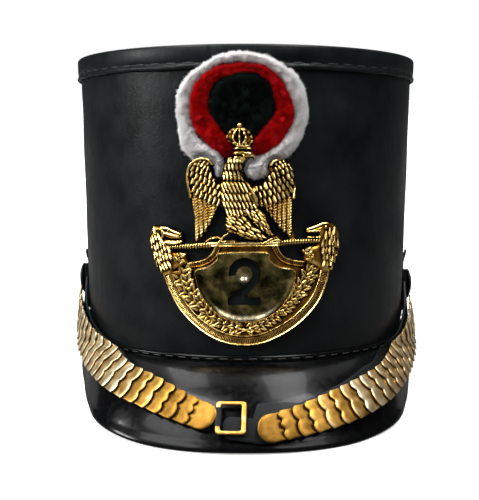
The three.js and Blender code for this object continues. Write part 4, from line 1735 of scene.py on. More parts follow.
def outline_distance(outline: Array, x: Array, y: Array) -> Array:
    """Distance to a closed outline, negative inside it.

    Args:
        outline: Its corners.
        x: Where to measure, along the arc.
        y: Where to measure, upwards.

    Returns:
        One distance for each place.
    """
    best = np.full(x.shape, FAR)
    inside = np.zeros(x.shape, dtype=bool)
    for (x0, y0), (x1, y1) in zip(outline, np.roll(outline, -1, axis=0)):
        dx, dy = x1 - x0, y1 - y0
        t = np.clip(((x - x0) * dx + (y - y0) * dy) / (dx * dx + dy * dy + 1e-12), 0.0, 1.0)
        best = np.minimum(best, np.hypot(x - x0 - t * dx, y - y0 - t * dy))
        if abs(dy) > 1e-9:
            inside ^= ((y0 > y) != (y1 > y)) & (x < dx * (y - y0) / dy + x0)
    return np.where(inside, -best, best)


def blurred(values: Array, reach: float) -> Array:
    """Values smoothed by a bell of so many cells.

    Args:
        values: Numbers on a grid.
        reach: Width of the bell in cells.

    Returns:
        The smoothed numbers.
    """
    rows = np.fft.fftfreq(values.shape[0])[:, None]
    columns = np.fft.fftfreq(values.shape[1])[None, :]
    bell = np.exp(-2.0 * (math.pi * reach) ** 2 * (rows**2 + columns**2))
    return np.real(np.fft.ifft2(np.fft.fft2(values) * bell))


class Relief:
    """Height of stamped sheet over a fine grid of the unrolled plate."""

    BARE = 0.8  # height of the sheet where nothing is stamped

    def __init__(self, low: tuple[float, float], high: tuple[float, float], cell: float) -> None:
        """Starts an empty sheet.

        Args:
            low: Lowest x and y.
            high: Highest x and y.
            cell: Size of a grid cell.
        """
        self.cell = cell
        self.xs = np.arange(low[0], high[0] + cell, cell)
        self.ys = np.arange(low[1], high[1] + cell, cell)
        self.x, self.y = np.meshgrid(self.xs, self.ys)
        self.height = np.full(self.x.shape, self.BARE)
        self.ground = self.height.copy()
        self.edge = np.full(self.x.shape, FAR)
        self.painted_light: Array | None = None

    def window(self, points: Array, margin: float) -> tuple[slice, slice]:
        """Rows and columns of the grid round some points.

        Args:
            points: The points.
            margin: How far round them it reaches.

        Returns:
            The rows and the columns.
        """
        low = points.min(axis=0) - margin
        high = points.max(axis=0) + margin
        rows = np.searchsorted(self.ys, [low[1], high[1]])
        columns = np.searchsorted(self.xs, [low[0], high[0]])
        return slice(int(rows[0]), int(rows[1]) + 1), slice(int(columns[0]), int(columns[1]) + 1)

    def mass(self, outline: Array, height: float, rounding: float, foot: float = BARE) -> None:
        """Adds a rounded mass inside an outline, which also joins the sheet's own outline.

        Args:
            outline: Its outline.
            height: How high its middle stands.
            rounding: How far from the outline it is round.
            foot: How high it stands at the outline.
        """
        distance = outline_distance(outline, self.x, self.y)
        self.edge = np.minimum(self.edge, distance)
        share = np.clip(-distance / rounding, 0.0, 1.0)
        level = foot + (height - foot) * dome(1.0 - share)
        self.height = np.where(distance < 0.0, np.maximum(self.height, level), self.height)

    def cut(self, outline: Array) -> None:
        """Takes the inside of an outline out of the sheet."""
        self.edge = np.maximum(self.edge, -outline_distance(outline, self.x, self.y))

    def settle(self) -> None:
        """Takes the present surface as the ground that feathers and leaves lie on."""
        self.ground = self.height.copy()

    def path_place(self, path: Array, box: tuple[slice, slice]) -> tuple[Array, Array]:
        """Distance to a path and share along it, within a box of the grid.

        Args:
            path: Points of the path.
            box: Rows and columns of the grid.

        Returns:
            The distances, and the shares from 0 to 1.
        """
        x, y = self.x[box], self.y[box]
        sums = lengths_along(path)
        best = np.full(x.shape, FAR)
        share = np.zeros(x.shape)
        for index, (start, end) in enumerate(zip(path[:-1], path[1:])):
            dx, dy = end - start
            dot = (x - start[0]) * dx + (y - start[1]) * dy
            t = np.clip(dot / (dx * dx + dy * dy + 1e-12), 0.0, 1.0)
            away = np.hypot(x - start[0] - t * dx, y - start[1] - t * dy)
            nearer = away < best
            best = np.where(nearer, away, best)
            share = np.where(nearer, mixed(sums[index], sums[index + 1], t) / sums[-1], share)
        return best, share

    def lift(self, box: tuple[slice, slice], inside: Array, rise: Array) -> None:
        """Raises part of a box of the grid so far over the ground, where it isn't higher."""
        level = np.maximum(self.height[box], self.ground[box] + rise)
        self.height[box] = np.where(inside, level, self.height[box])

    def ridge(
        self, points: Outline, half_width: float, height: float, end_width: float = 0.5
    ) -> None:
        """Adds a rounded ridge along a path, over the ground.

        Args:
            points: Corners of the path.
            half_width: Half its width at its start and middle.
            height: How far it stands over the ground.
            end_width: Share of the width that is left at its end.
        """
        path = rounded_outline(points, 3, closed=False)
        box = self.window(path, half_width + self.cell)
        away, share = self.path_place(path, box)
        half = half_width * mixed(1.0, end_width, smoothstep(share, 0.45, 1.0))
        self.lift(box, away < half, height * dome(away / half))

    def groove(self, points: Outline, half_width: float, depth: float) -> None:
        """Sinks a soft groove along a path.

        Args:
            points: Corners of the path.
            half_width: Half its width.
            depth: Its depth.
        """
        path = rounded_outline(points, 3, closed=False)
        box = self.window(path, 2.5 * half_width)
        away, _ = self.path_place(path, box)
        self.height[box] -= depth * np.exp(-((away / half_width) ** 2))

    def pearl(self, place: Spot, radius: float, height: float) -> None:
        """Adds a round bead on the ground.

        Args:
            place: Its middle.
            radius: Its radius.
            height: How far it stands out.
        """
        box = self.window(np.array([place]), radius + self.cell)
        away = np.hypot(self.x[box] - place[0], self.y[box] - place[1])
        self.lift(box, away < radius, height * dome(away / radius))

    def feather(
        self, root: Spot, tip: Spot, half_width: float, height: float, barb: float = 0.0,
        vein: float = 0.25, bow: float = 0.0, lobes: int = 0, pointed: bool = False,
        tilt: float = 0.0,
    ) -> None:
        """Lays a feather or leaf over what is there.

        Args:
            root: Where it grows from.
            tip: Its rounded end.
            half_width: Half its widest width.
            height: How far its tip stands over the ground.
            barb: Depth of the fine strokes across it.
            vein: Height of the rib along its middle.
            bow: How far its middle swings sideways.
            lobes: Waves of its edge, for lobed leaves.
            pointed: Whether it ends in a point, as a leaf does, and not round.
            tilt: How much higher one long edge stands than the other.
        """
        start, end = np.asarray(root, dtype=float), np.asarray(tip, dtype=float)
        length = float(np.hypot(*(end - start)))
        along = (end - start) / length
        across = np.array([-along[1], along[0]])
        box = self.window(np.array([start, end]), half_width + abs(bow) + 0.3)
        dx, dy = self.x[box] - start[0], self.y[box] - start[1]
        s = (dx * along[0] + dy * along[1]) / length
        inside_s = np.clip(s, 0.0, 1.0)
        sway = bow * 4.0 * inside_s * (1.0 - inside_s)
        half = half_width * np.minimum(0.55 + 1.2 * inside_s, 1.0)
        half = half * dome(np.maximum((inside_s - 0.62) / 0.38, 0.0))
        if pointed:
            half = half_width * np.sin(np.pi * inside_s**0.85) ** 0.75
        if lobes:
            half = half * (0.78 + 0.22 * np.abs(np.sin(np.pi * lobes * inside_s)))
        offset = dx * across[0] + dy * across[1] - sway
        t = offset / np.maximum(half, 1e-6)
        inside = (np.abs(t) < 1.0) & (s > 0.0) & (s < 1.0)
        camber = 1.0 - (0.25 if pointed else 0.6) * t**2 + tilt * t
        lift = height * (0.05 + 0.95 * inside_s**0.9) * camber
        rib = vein * np.exp(-((offset / (0.42 if pointed else 0.28)) ** 2)) * (1.0 - inside_s**3)
        fine = barb * np.sin((inside_s * length + 0.9 * np.abs(offset)) * 2.0 * math.pi / 1.6)
        laid = self.ground[box] + lift + rib - fine * (np.abs(t) > 0.2)
        self.height[box] = np.where(inside, laid, self.height[box])

    def plumage(
        self, outline: Outline, angle: float, length: float, half_width: float, height: float,
        seed: int, pitch: float = 2.1,
    ) -> None:
        """Covers an outline with short overlapping strokes that point one way.

        Args:
            outline: Where they lie.
            angle: Direction they point in, in degrees from +x.
            length: Length of a stroke.
            half_width: Half its width.
            height: How far it stands over the ground.
            seed: Seed of their unevenness.
            pitch: Spacing in half widths.
        """
        rng = np.random.default_rng(seed)
        outline = np.asarray(outline)
        way = np.array([math.cos(math.radians(angle)), math.sin(math.radians(angle))])
        across = np.array([-way[1], way[0]])
        centre = outline.mean(axis=0)
        reach = float(np.max(np.hypot(*(outline - centre).T)))
        step_across = pitch * half_width
        for number, along in enumerate(np.arange(reach, -reach, -0.72 * length)):
            for side in np.arange(-reach, reach, step_across):
                shift = 0.5 * step_across * (number % 2)
                place = centre + way * (along + rng.normal(0, 0.14 * length))
                place = place + across * (side + shift)
                if outline_distance(outline, place[:1], place[1:])[0] > -0.3:
                    continue
                turn = math.radians(angle + rng.normal(0.0, 7.0))
                ahead = np.array([math.cos(turn), math.sin(turn)]) * length * 0.5
                self.feather(
                    place - ahead, place + ahead, half_width, height * rng.uniform(0.8, 1.15),
                    vein=0.12, bow=rng.normal(0.0, 0.15), tilt=0.4,
                )

    def tarnish(self) -> Array:
        """How far each point stands out from its neighbourhood, from 0 to 1, for tarnish and painted
        shade in the recesses and a painted highlight on the crests.

        Returns:
            One number for each place of the grid.
        """
        inside = (self.edge < 0.0).astype(float)
        filled = np.where(self.edge < 0.0, self.height, self.BARE)
        level, broad = (
            blurred(filled * inside, reach / self.cell)
            / np.maximum(blurred(inside, reach / self.cell), 0.05)
            for reach in (0.9, 3.0)
        )
        fine = (filled - level) / 0.62
        coarse = (level - broad) / 3.0
        # Low ground is marked darker still, as tarnish and as painted shade.
        floor = 0.08 * np.clip((filled - 2.0) / 0.7, -1.0, 0.0)
        return np.clip(0.52 + 0.95 * fine + 0.25 * coarse + floor, 0.0, 1.0)

    def sheet(self, name: str, thickness: float) -> Piece:
        """Closed stamped sheet of this relief, flat, with its tarnish and painted light marked.

        Args:
            name: Name of the new object.
            thickness: Thickness of the metal.

        Returns:
            The mesh object, unrolled in millimetres.
        """
        rows, columns = self.x.shape
        piece, x, y = grid(name, columns - 1, rows - 1)
        spot = np.rint(y * (rows - 1)).astype(int), np.rint(x * (columns - 1)).astype(int)
        slope_y, slope_x = np.gradient(self.edge, self.cell)
        steep = np.maximum(np.hypot(slope_x, slope_y), 0.3)
        pull = np.where(np.abs(self.edge) < 0.75 * self.cell, self.edge, 0.0)
        place_x = self.x - pull * slope_x / steep**2 * 0.98
        place_y = self.y - pull * slope_y / steep**2 * 0.98
        move_points(piece, np.stack([place_x, place_y, self.height], axis=-1)[spot])
        # Tarnish with painted shade and highlights, or the painted reflection and highlight given
        # instead.
        painted_light = self.tarnish() if self.painted_light is None else self.painted_light
        mark(piece, "relief", painted_light[spot])
        corners = np.empty(len(piece.data.polygons) * 4, dtype=np.int32)
        piece.data.polygons.foreach_get("vertices", corners)
        outside = self.edge[spot][corners.reshape(-1, 4)].mean(axis=1) > 0.0
        on_faces(piece, outside, lambda: bpy.ops.mesh.delete(type="FACE"))
        return finished(piece, "SOLIDIFY", thickness=thickness, offset=-1.0)


@dataclass(frozen=True)
class PlateSeat:
    """How the unrolled plate is bent round the tube."""

    arc_radius: float = 103.5
    standoff: float = 0.6
    top_standoff: float = 6.0
    lean_from: float = 92.0
    lean_to: float = 130.0

    def off(self, height: Array) -> Array:
        """Distance of the sheet's back from the tube at a height."""
        share = smoothstep(height, self.lean_from, self.lean_to)
        return mixed(self.standoff, self.top_standoff, share)

    def bent(self, points: Array, off: Array | float | None = None) -> Array:
        """Points round the tube from unrolled x, y and depth.

        Args:
            points: Points of the unrolled plate.
            off: Distance from the tube, the plate's own if none is given.

        Returns:
            Points of the upright hat.
        """
        arc, height, depth = points[..., 0], points[..., 1], points[..., 2]
        gap = self.off(height) if off is None else off
        return polar(np.degrees(arc / self.arc_radius), TUBE.radius(height) + gap + depth, height)

    def bend(self, piece: Piece) -> Piece:
        """Bends an unrolled piece round the tube."""
        move_points(piece, self.bent(points_of(piece)))
        return piece


SEAT = PlateSeat()


@dataclass
class EagleFigure:
    """Crowned eagle, stamped in high relief and fixed on the thunderbolt."""

    cell: float = 0.27
    thickness: float = 0.6
    middle: float = -0.9
    crown: Outline = (
        (-7.9, 124.4), (-6, 127), (-3.9, 127.9), (-1.8, 128.2), (0.4, 127.9), (2.6, 126.5),
        (4.5, 123.7), (4.9, 120.9), (3.7, 118.7), (4.2, 115.8), (-5.1, 115.8), (-4.4, 118.5),
        (-7.2, 120.5), (-8.5, 122.7),
    )
    head: Outline = (
        (-5.5, 112.2), (-5.1, 115.3), (-3.9, 116.4), (2.1, 116.4), (4.4, 115.6), (5.7, 114.1),
        (6.2, 112.2), (5.6, 110.4), (4.8, 111.6), (2.9, 111.6), (1.2, 110), (-0.4, 108.3),
        (-4, 109.5),
    )
    body: Outline = (
        (-7.1, 113.1), (-8.7, 110.8), (-10.3, 107.3), (-10.9, 105), (-11.7, 100.9), (-12.3, 96.3),
        (-12.2, 91.6), (-11.6, 86.9), (-10.4, 83.4), (-9.9, 79.9), (-10.1, 76.4), (-9, 73.5),
        (-6.6, 71.7), (-1.4, 69.4), (3.9, 67.9), (9.1, 67.5), (13.3, 69), (16.3, 70.5),
        (15.3, 73.4), (13.2, 78.2), (10.9, 82.9), (8.5, 85.8), (8, 89.3), (7.4, 93), (5, 96.3),
        (1.6, 99.5), (0, 103.3), (-0.4, 107.3), (1.2, 110.2), (-1.3, 113.1),
    )
    left_wing: Outline = (
        (-15.5, 109.3), (-17.3, 111.6), (-20.5, 112.4), (-24.1, 111.8), (-27, 109.7), (-29, 107.3),
        (-30.1, 103.8), (-30.2, 99.7), (-29.7, 96.7), (-29, 92.6), (-28.4, 88), (-27.6, 83.3),
        (-27, 78.5), (-26.7, 73.8), (-27.1, 66.9), (-23.4, 67.2), (-22.5, 69.5), (-20, 72.2),
        (-17.8, 76), (-16.1, 79.6), (-14.6, 83.1), (-13.8, 85.5), (-10.7, 85.8), (-9.7, 97.4),
        (-12.9, 98.3), (-15, 100.6), (-16.4, 103.5), (-16.6, 106.7), (-15.2, 107.6),
    )
    right_wing: Outline = (
        (12.8, 108.2), (13.7, 109.9), (16, 111.1), (19.5, 110.9), (22.4, 109.3), (24.9, 106.7),
        (26.6, 103.2), (27.4, 99.1), (27.5, 93.9), (27.2, 89.2), (26.6, 85.6), (26.4, 81),
        (27.1, 76.2), (28, 71.5), (28.5, 66.9), (25.3, 67.4), (24, 70.4), (21, 72.2), (18, 75.5),
        (15.3, 79.3), (12.6, 82.9), (10.2, 85.5), (6.8, 86.4), (4.4, 95.1), (6.2, 97.5),
        (9.1, 97.4), (11.1, 99.8), (12.8, 102.7), (13.8, 104.4), (12.8, 106.1),
    )
    left_thigh: Outline = (
        (-9.5, 82.4), (-7.2, 83), (-1.4, 81.6), (4.5, 76.4), (10.3, 71.7), (13.9, 69), (9.1, 67.5),
        (3.9, 67.9), (-1.4, 69.4), (-6.6, 71.7), (-9.3, 73.5), (-10.2, 76.4), (-10, 79.9),
    )
    right_thigh: Outline = (
        (1, 83.6), (3.9, 85.3), (7.4, 85.6), (10.3, 82.9), (13.2, 78.2), (15.3, 73.4), (16.8, 70.5),
        (12.6, 70.5), (8, 74.1), (3.9, 78.2),
    )
    left_leg: Outline = ((-6.3, 72.6), (-9.6, 70.5), (-11.4, 68.8), (-13.3, 66.2), (-14.6, 64.4))
    left_toe: Outline = (
        (-20.8, 66.4), (-19.4, 68.7), (-16.7, 70.1), (-11.9, 70), (-13.2, 68.2), (-16.7, 67.7),
        (-19.1, 66.5),
    )
    inner_toe: Outline = (
        (-12.3, 67.3), (-9.6, 68.6), (-4.9, 68.5), (-2.4, 66.5), (-7.3, 65.4), (-11.4, 65.6),
    )
    right_claws: Outline = (
        (9.1, 67), (12.1, 69.4), (16.3, 70.6), (19.2, 69.5), (21.2, 67.3), (19.9, 65.9),
        (16.2, 66.6), (13.9, 65.6), (10.3, 65.4),
    )
    pearls: Outline = (
        (-8, 122.9), (-7.3, 120.3), (-6.6, 125.2), (-4.6, 126.7), (-4.9, 122.2), (-4, 124.6),
        (-1.8, 125.9), (-1.8, 122.6), (0.6, 126.5), (1.2, 122.3), (0.4, 124.5), (2.7, 125.3),
        (4.1, 122.9), (4.5, 120.4), (-4.4, 119.7), (-1.8, 119.4), (1.1, 119.6),
    )
    # Tips of each row of wing coverts on the left wing, from its outer edge to the body
    covert_rows: tuple[tuple[float, int, float, Outline], ...] = (
        (5.4, 9, 1.3, ((-28.6, 94.4), (-24.6, 91.2), (-19.6, 88.6), (-14.0, 86.4), (-7.5, 85.9))),
        (4.6, 9, 1.2, ((-29.0, 98.8), (-24.7, 95.8), (-18.5, 92.7), (-12.4, 90.9), (-7.0, 90.0))),
        (4.2, 9, 1.15, ((-29.2, 102.6), (-24.7, 99.9), (-19.1, 96.9), (-13.0, 95.0), (-7.6, 94.0))),
        (3.8, 6, 1.1, ((-28.4, 105.9), (-23.5, 103.8), (-18.5, 101.2), (-15.0, 98.6))),
        (3.2, 5, 1.0, ((-26.4, 108.4), (-22.2, 106.9), (-18.4, 104.6))),
        (2.6, 3, 0.9, ((-23.6, 110.2), (-20.6, 109.2), (-18.0, 107.6))),
    )
    primaries: tuple[tuple[tuple[float, float], tuple[float, float], float], ...] = (
        ((-13.6, 88.5), (-14.6, 83.0), 1.15), ((-15.8, 89.0), (-16.6, 79.0), 1.35),
        ((-18.2, 90.0), (-18.5, 75.4), 1.45), ((-20.8, 91.0), (-20.6, 72.0), 1.5),
        ((-23.6, 93.0), (-22.9, 69.0), 1.6), ((-26.5, 95.0), (-25.5, 66.8), 1.75),
    )

    def build(self, frame: HatFrame) -> None:
        """Builds and dresses the figure.

        Args:
            frame: Where the upright hat stands.
        """
        relief = Relief((-31.6, 63.4), (30.2, 131.4), self.cell)
        for outline in (self.left_wing, self.right_wing):
            relief.mass(rounded_outline(outline), 2.0, 1.6)
        relief.settle()
        for mirror in (False, True):
            self.wing(relief, mirror)
        relief.mass(rounded_outline(self.body), 5.0, 6.5, foot=1.2)
        relief.settle()
        self.breast(relief)
        self.thighs(relief)
        self.feet(relief)
        self.head_and_crown(relief)
        piece = SEAT.bend(relief.sheet("eagle_figure_brass", self.thickness))
        frame.stand(piece, BRASS, "eagle_plate", angle=70.0)

    def mirrored(self, place: Spot, mirror: bool) -> Spot:
        """A place of the left wing, or the same place of the right one."""
        return (2.0 * self.middle - place[0], place[1] - 0.4) if mirror else place

    def wing(self, relief: Relief, mirror: bool) -> None:
        """Lays one wing's long feathers, its rows of coverts and its smooth rim.

        Args:
            relief: The sheet that it is stamped in.
            mirror: Whether it is the right wing.
        """
        for root, tip, half in self.primaries:
            relief.feather(
                self.mirrored(root, mirror), self.mirrored(tip, mirror), half, 1.1,
                barb=0.24, vein=0.6, tilt=0.45,
            )
        for number, (length, count, half, tips) in enumerate(self.covert_rows):
            line = rounded_outline(tips, 6, closed=False)
            sums = lengths_along(line)
            for index in range(count):
                tip = along_path(line, sums, sums[-1] * (index + 0.5) / count)
                lean = 0.34 - 0.1 * index / count
                root = (tip[0] + lean * length, tip[1] + length)
                relief.feather(
                    self.mirrored(root, mirror), self.mirrored(tip, mirror),
                    half * (0.9 + 0.2 * math.sin(3.7 * index + 2.0 * number)),
                    1.55 + 0.12 * number + 0.25 * math.sin(5.1 * index + number), vein=0.15,
                    bow=-0.3 if mirror else 0.3, tilt=0.5,
                )
        rim = [(-28.7, 91.0), (-29.6, 96.7), (-29.9, 101.2), (-29.0, 105.6), (-26.8, 109.2),
               (-23.5, 111.3), (-20.2, 111.7), (-17.4, 110.8), (-15.9, 108.8)]
        rim = [self.mirrored(place, mirror) for place in rim]
        relief.ridge(rim, 0.95, 2.5, end_width=0.9)

    def breast(self, relief: Relief) -> None:
        """Neck darts, breast rows and the collar of long feathers on the right.

        Args:
            relief: The sheet that it is stamped in.
        """
        rows = (
            (86.2, 81, -9.8, 3, 7, 0.85, 2.2), (90, 84.8, -11.4, 6.2, 9, 0.95, 2.6),
            (94.2, 88.6, -12, 7, 9, 1.05, 2.8), (99.2, 93.2, -12, 5.6, 9, 1.05, 3),
            (105.2, 100, -11.4, 0.4, 6, 1, 0.8), (109.6, 105.4, -10.2, -0.6, 5, 0.8, 0.3),
            (113, 109, -8.4, -0.8, 5, 0.7, 0.1),
        )
        for top, bottom, low, high, count, half, slant in rows:
            for index in range(count):
                x = mixed(low, high, (index + 0.5) / count)
                root, tip = (x - 0.5 * slant, top), (x + 0.5 * slant, bottom)
                relief.feather(root, tip, half, 1.8, vein=0.1, tilt=0.5)
        for root, tip in (
            ((4.0, 92.6), (8.0, 86.2)), ((3.0, 95.2), (7.6, 88.6)), ((1.8, 97.6), (6.8, 91.2)),
            ((0.4, 100.0), (5.4, 93.8)), ((-0.6, 102.6), (3.4, 96.6)),
        ):
            relief.feather(root, tip, 0.85, 1.6, vein=0.2)

    def thighs(self, relief: Relief) -> None:
        """Both thighs, with their strokes down to the right.

        Args:
            relief: The sheet that it is stamped in.
        """
        left, right = rounded_outline(self.left_thigh), rounded_outline(self.right_thigh)
        relief.mass(left, 5.2, 4.5, foot=1.2)
        relief.settle()
        relief.plumage(left, -36.0, 5.2, 0.85, 1.6, 71)
        relief.mass(right, 5.9, 4.0, foot=1.6)
        relief.settle()
        relief.plumage(right, -52.0, 4.8, 0.8, 1.6, 72)
        relief.groove([(0.6, 82.6), (4.6, 77.6), (9.0, 73.2), (12.6, 70.6)], 0.5, 1.1)

    def feet(self, relief: Relief) -> None:
        """Left leg and toes, right claws.

        Args:
            relief: The sheet that it is stamped in.
        """
        for outline in (self.left_toe, self.inner_toe, self.right_claws):
            relief.mass(rounded_outline(outline), 3.4, 1.2, foot=1.6)
        relief.settle()
        relief.ridge(self.left_leg, 0.95, 3.2, end_width=0.8)
        leg = outline_distance(
            rounded_outline([
                (-6.6, 73.2), (-9.9, 71.2), (-12.2, 69.2), (-14.4, 66.4), (-15.2, 64), (-13.6, 63.8),
                (-12.4, 66), (-10.8, 68.2), (-8.8, 69.8), (-6, 71.6),
            ]),
            relief.x, relief.y,
        )
        relief.edge = np.minimum(relief.edge, leg)
        for path, half, height in (
            ([(-20, 66.9), (-17.4, 68.6), (-12.6, 69.2)], 0.4, 0.8),
            ([(-11.4, 67), (-8, 67.4), (-3.6, 66.9)], 0.4, 0.8),
            ([(10.4, 66.2), (13.2, 67.8), (16.6, 69.6)], 0.55, 1.0),
            ([(14, 66.6), (17.2, 68), (20.4, 67.6)], 0.5, 1.0),
        ):
            relief.ridge(path, half, height)
        relief.groove([(10.6, 67.4), (13.6, 69.4)], 0.3, 0.6)

    def head_and_crown(self, relief: Relief) -> None:
        """Hooked beak, brow and eye, and the arched crown with its pearls.

        Args:
            relief: The sheet that it is stamped in.
        """
        relief.mass(rounded_outline(self.head), 4.9, 2.4, foot=1.4)
        relief.mass(rounded_outline(self.crown), 4.4, 3.2, foot=1.4)
        relief.settle()
        relief.ridge([(-4.4, 114.4), (-2.0, 114.9), (0.8, 114.7), (2.6, 113.9)], 0.6, 0.9)
        relief.ridge([(2.0, 114.6), (4.2, 114.2), (5.4, 113.0), (5.9, 111.4)], 0.7, 0.8)
        relief.pearl((0.2, 113.2), 0.55, 0.8)
        relief.groove([(1.0, 112.0), (3.0, 112.2), (4.8, 112.2)], 0.28, 0.9)
        relief.groove([(-5.6, 112.0), (-4.0, 113.2), (-1.4, 113.2), (-0.4, 112.6)], 0.4, 1.2)
        relief.groove([(-5.3, 116.0), (-0.6, 116.2), (4.2, 115.9)], 0.4, 1.6)
        relief.settle()
        for height in (116.9, 118.4):
            band = [(-4.6, height), (-0.4, height - 0.15), (3.9, height)]
            relief.ridge(band, 0.42, 0.9, end_width=1.0)
        for arch in (
            [(-4.0, 119.0), (-8.0, 121.6), (-6.8, 125.6), (-3.0, 127.7)],
            [(-2.8, 119.0), (-4.9, 122.0), (-4.0, 125.6), (-2.2, 127.8)],
            [(-1.8, 119.0), (-1.8, 123.0), (-1.8, 127.8)],
            [(-0.6, 119.0), (1.3, 122.0), (0.4, 125.6), (-1.4, 127.8)],
            [(3.2, 119.0), (4.6, 121.6), (3.2, 125.6), (-0.6, 127.7)],
        ):
            relief.ridge(arch, 0.5, 0.9, end_width=0.8)
        relief.settle()
        for place in self.pearls:
            relief.pearl(place, 0.78, 0.9)
        relief.edge = np.minimum(relief.edge, np.hypot(relief.x + 1.8, relief.y - 129.0) - 1.25)
        relief.ground = np.maximum(relief.ground, np.where(relief.y > 127.6, 3.4, 0.0))
        relief.pearl((-1.8, 129.0), 1.25, 1.2)


@dataclass
class ShieldPlate:
    """Crescent shield with wreaths, a lion's and an eagle's head, and the polished field."""

    cell: float = 0.32
    thickness: float = 0.6
    rim: Outline = (
        (-48.2, 54), (-47.2, 50.9), (-44.4, 44), (-41.4, 37.7), (-37.2, 30.3), (-31.9, 24.2),
        (-25.3, 18.6), (-17.9, 13.9), (-9.3, 10.7), (0.4, 9.6), (9.8, 10.6), (19.2, 14.1),
        (28.5, 19.3), (36.7, 26), (42.9, 33.2), (46.7, 41.1), (49, 49.5), (50.2, 56.4),
    )
    field: Outline = (
        (-11.9, 60.4), (11.6, 60.8), (13, 57.8), (15.8, 54.6), (20.1, 52.4), (27.7, 50.3),
        (26.7, 42), (23.1, 35.1), (18.9, 29.6), (13.2, 25.8), (7.6, 23.8), (1.2, 23.3),
        (-5.1, 23.6), (-12.1, 26.1), (-17.1, 30.3), (-21.3, 35.1), (-24.2, 40.6), (-25.6, 46.2),
        (-26.1, 50.4), (-20.5, 52.3), (-16.9, 54.1), (-13.7, 57.3),
    )
    field_middle: tuple[float, float] = (0.8, 42.0)
    left_notch: Outline = (
        (-14.6, 66.4), (-15.8, 63.6), (-17.5, 60.4), (-20.4, 57.9), (-24.1, 56.4), (-31, 55.1),
    )
    right_notch: Outline = (
        (17.4, 66.6), (19, 63.9), (20.4, 61.1), (22.9, 58.6), (27.3, 56.9), (33.4, 56),
    )
    lion: Outline = (
        (-52.9, 73.4), (-51.3, 74.9), (-45.8, 75.3), (-41.2, 74.6), (-38, 73), (-33.4, 71.9),
        (-33.2, 69.8), (-33.9, 68.6), (-33.4, 66.4), (-35, 64.7), (-38.6, 63.9), (-38.9, 61.4),
        (-36.4, 60.6), (-31.3, 60.6), (-30.4, 58), (-31.2, 54.4), (-38.4, 50.7), (-41.1, 48),
        (-45.7, 47.6), (-47.6, 50.4), (-49.9, 54), (-51.8, 59.2), (-53.5, 66.3), (-53.6, 71.3),
    )
    bird: Outline = (
        (34, 74), (38.8, 75.6), (43.5, 77.3), (46.8, 77.8), (50.9, 76.4), (53.9, 72.8),
        (54.7, 66.3), (53.3, 60), (51.6, 55.4), (49.9, 50.3), (45.2, 49.6), (40.2, 52.6),
        (33.4, 56), (31.9, 62), (34.6, 63.8), (39.8, 64.5), (41, 66.5), (39.7, 68), (35.3, 68.3),
        (34.6, 69.5), (39.8, 69.7), (41.2, 70.7), (36.6, 71.4), (33.6, 71.9),
    )
    mane: Outline = (
        (-53, 72.4), (-47, 73.6), (-44.4, 68), (-40, 61.8), (-40.8, 50.4), (-46.6, 49), (-50.8, 55),
        (-53, 64),
    )
    neck: Outline = (
        (44, 70), (50, 74), (53.6, 69), (53.6, 62), (50.4, 52), (45, 51), (42.4, 58), (41.8, 64),
    )
    wire_pitch: float = 1.5
    arm_radii: tuple[float, float] = (0.95, 1.55)
    left_arm: Outline = ((-41.5, 63.0), (-33.5, 63.8), (-26.1, 64.4), (-17.6, 65.2))
    right_arm: Outline = ((42.5, 66.9), (33.5, 66.9), (25.7, 66.7), (18.6, 66.0))
    wreath_left: Outline = (
        (3, 18.6), (-2.3, 19.6), (-9.3, 21.3), (-16.4, 24.9), (-22.1, 29.3), (-26.5, 33.6),
        (-30.2, 38.6), (-32.5, 43.2), (-34.3, 48.3), (-35, 53.4), (-34.4, 59),
    )
    wreath_right: Outline = (
        (-1.6, 18.4), (3.9, 19), (9, 21.3), (14.6, 24.8), (20.3, 28.8), (25.6, 33.4), (30.2, 38.7),
        (34.2, 44.4), (37, 50.5), (37.9, 56.4), (36, 62),
    )

    def build(self, frame: HatFrame) -> None:
        """Builds and dresses the shield, its mouldings, its field and the thunderbolt.

        Args:
            frame: Where the upright hat stands.
        """
        relief = Relief((-55.0, 8.6), (56.0, 79.4), self.cell)
        self.ground_shape(relief)
        self.wreaths(relief)
        self.lion_head(relief)
        self.bird_head(relief)
        piece = SEAT.bend(relief.sheet("shield_brass", self.thickness))
        frame.stand(piece, BRASS, "eagle_plate", angle=70.0)
        frame.stand(self.border(), BRASS, angle=50.0)
        for name, path in (("notch_left", self.left_notch), ("notch_right", self.right_notch)):
            frame.stand(self.notch_moulding(name, path), BRASS, angle=50.0)
        frame.stand(self.field_frame(), BRASS, angle=50.0)
        frame.stand(self.polished_field(), FIELD_BRASS, angle=60.0)
        for side, path in (("left", self.left_arm), ("right", self.right_arm)):
            frame.stand(self.bolt(f"thunderbolt_{side}", path), BRASS)
        frame.stand(self.middle_bar(), BRASS)

    def ground_shape(self, relief: Relief) -> None:
        """Low ground of the shield inside its rim, open at the numeral.

        Args:
            relief: The sheet that it is stamped in.
        """
        rim, right, left = (
            rounded_outline(path, 5, closed=False)
            for path in (self.rim, self.right_notch, self.left_notch)
        )
        top_right, top_left = [(40.0, 57.0), (35.0, 57.0)], [(-36.0, 57.0), (-46.0, 56.0)]
        relief.mass(np.vstack([rim, top_right, right[::-1], left, top_left]), 1.3, 0.5)
        field = rounded_outline(self.field, 3)
        relief.cut(mixed(field, np.array(self.field_middle), 0.07))
        relief.settle()

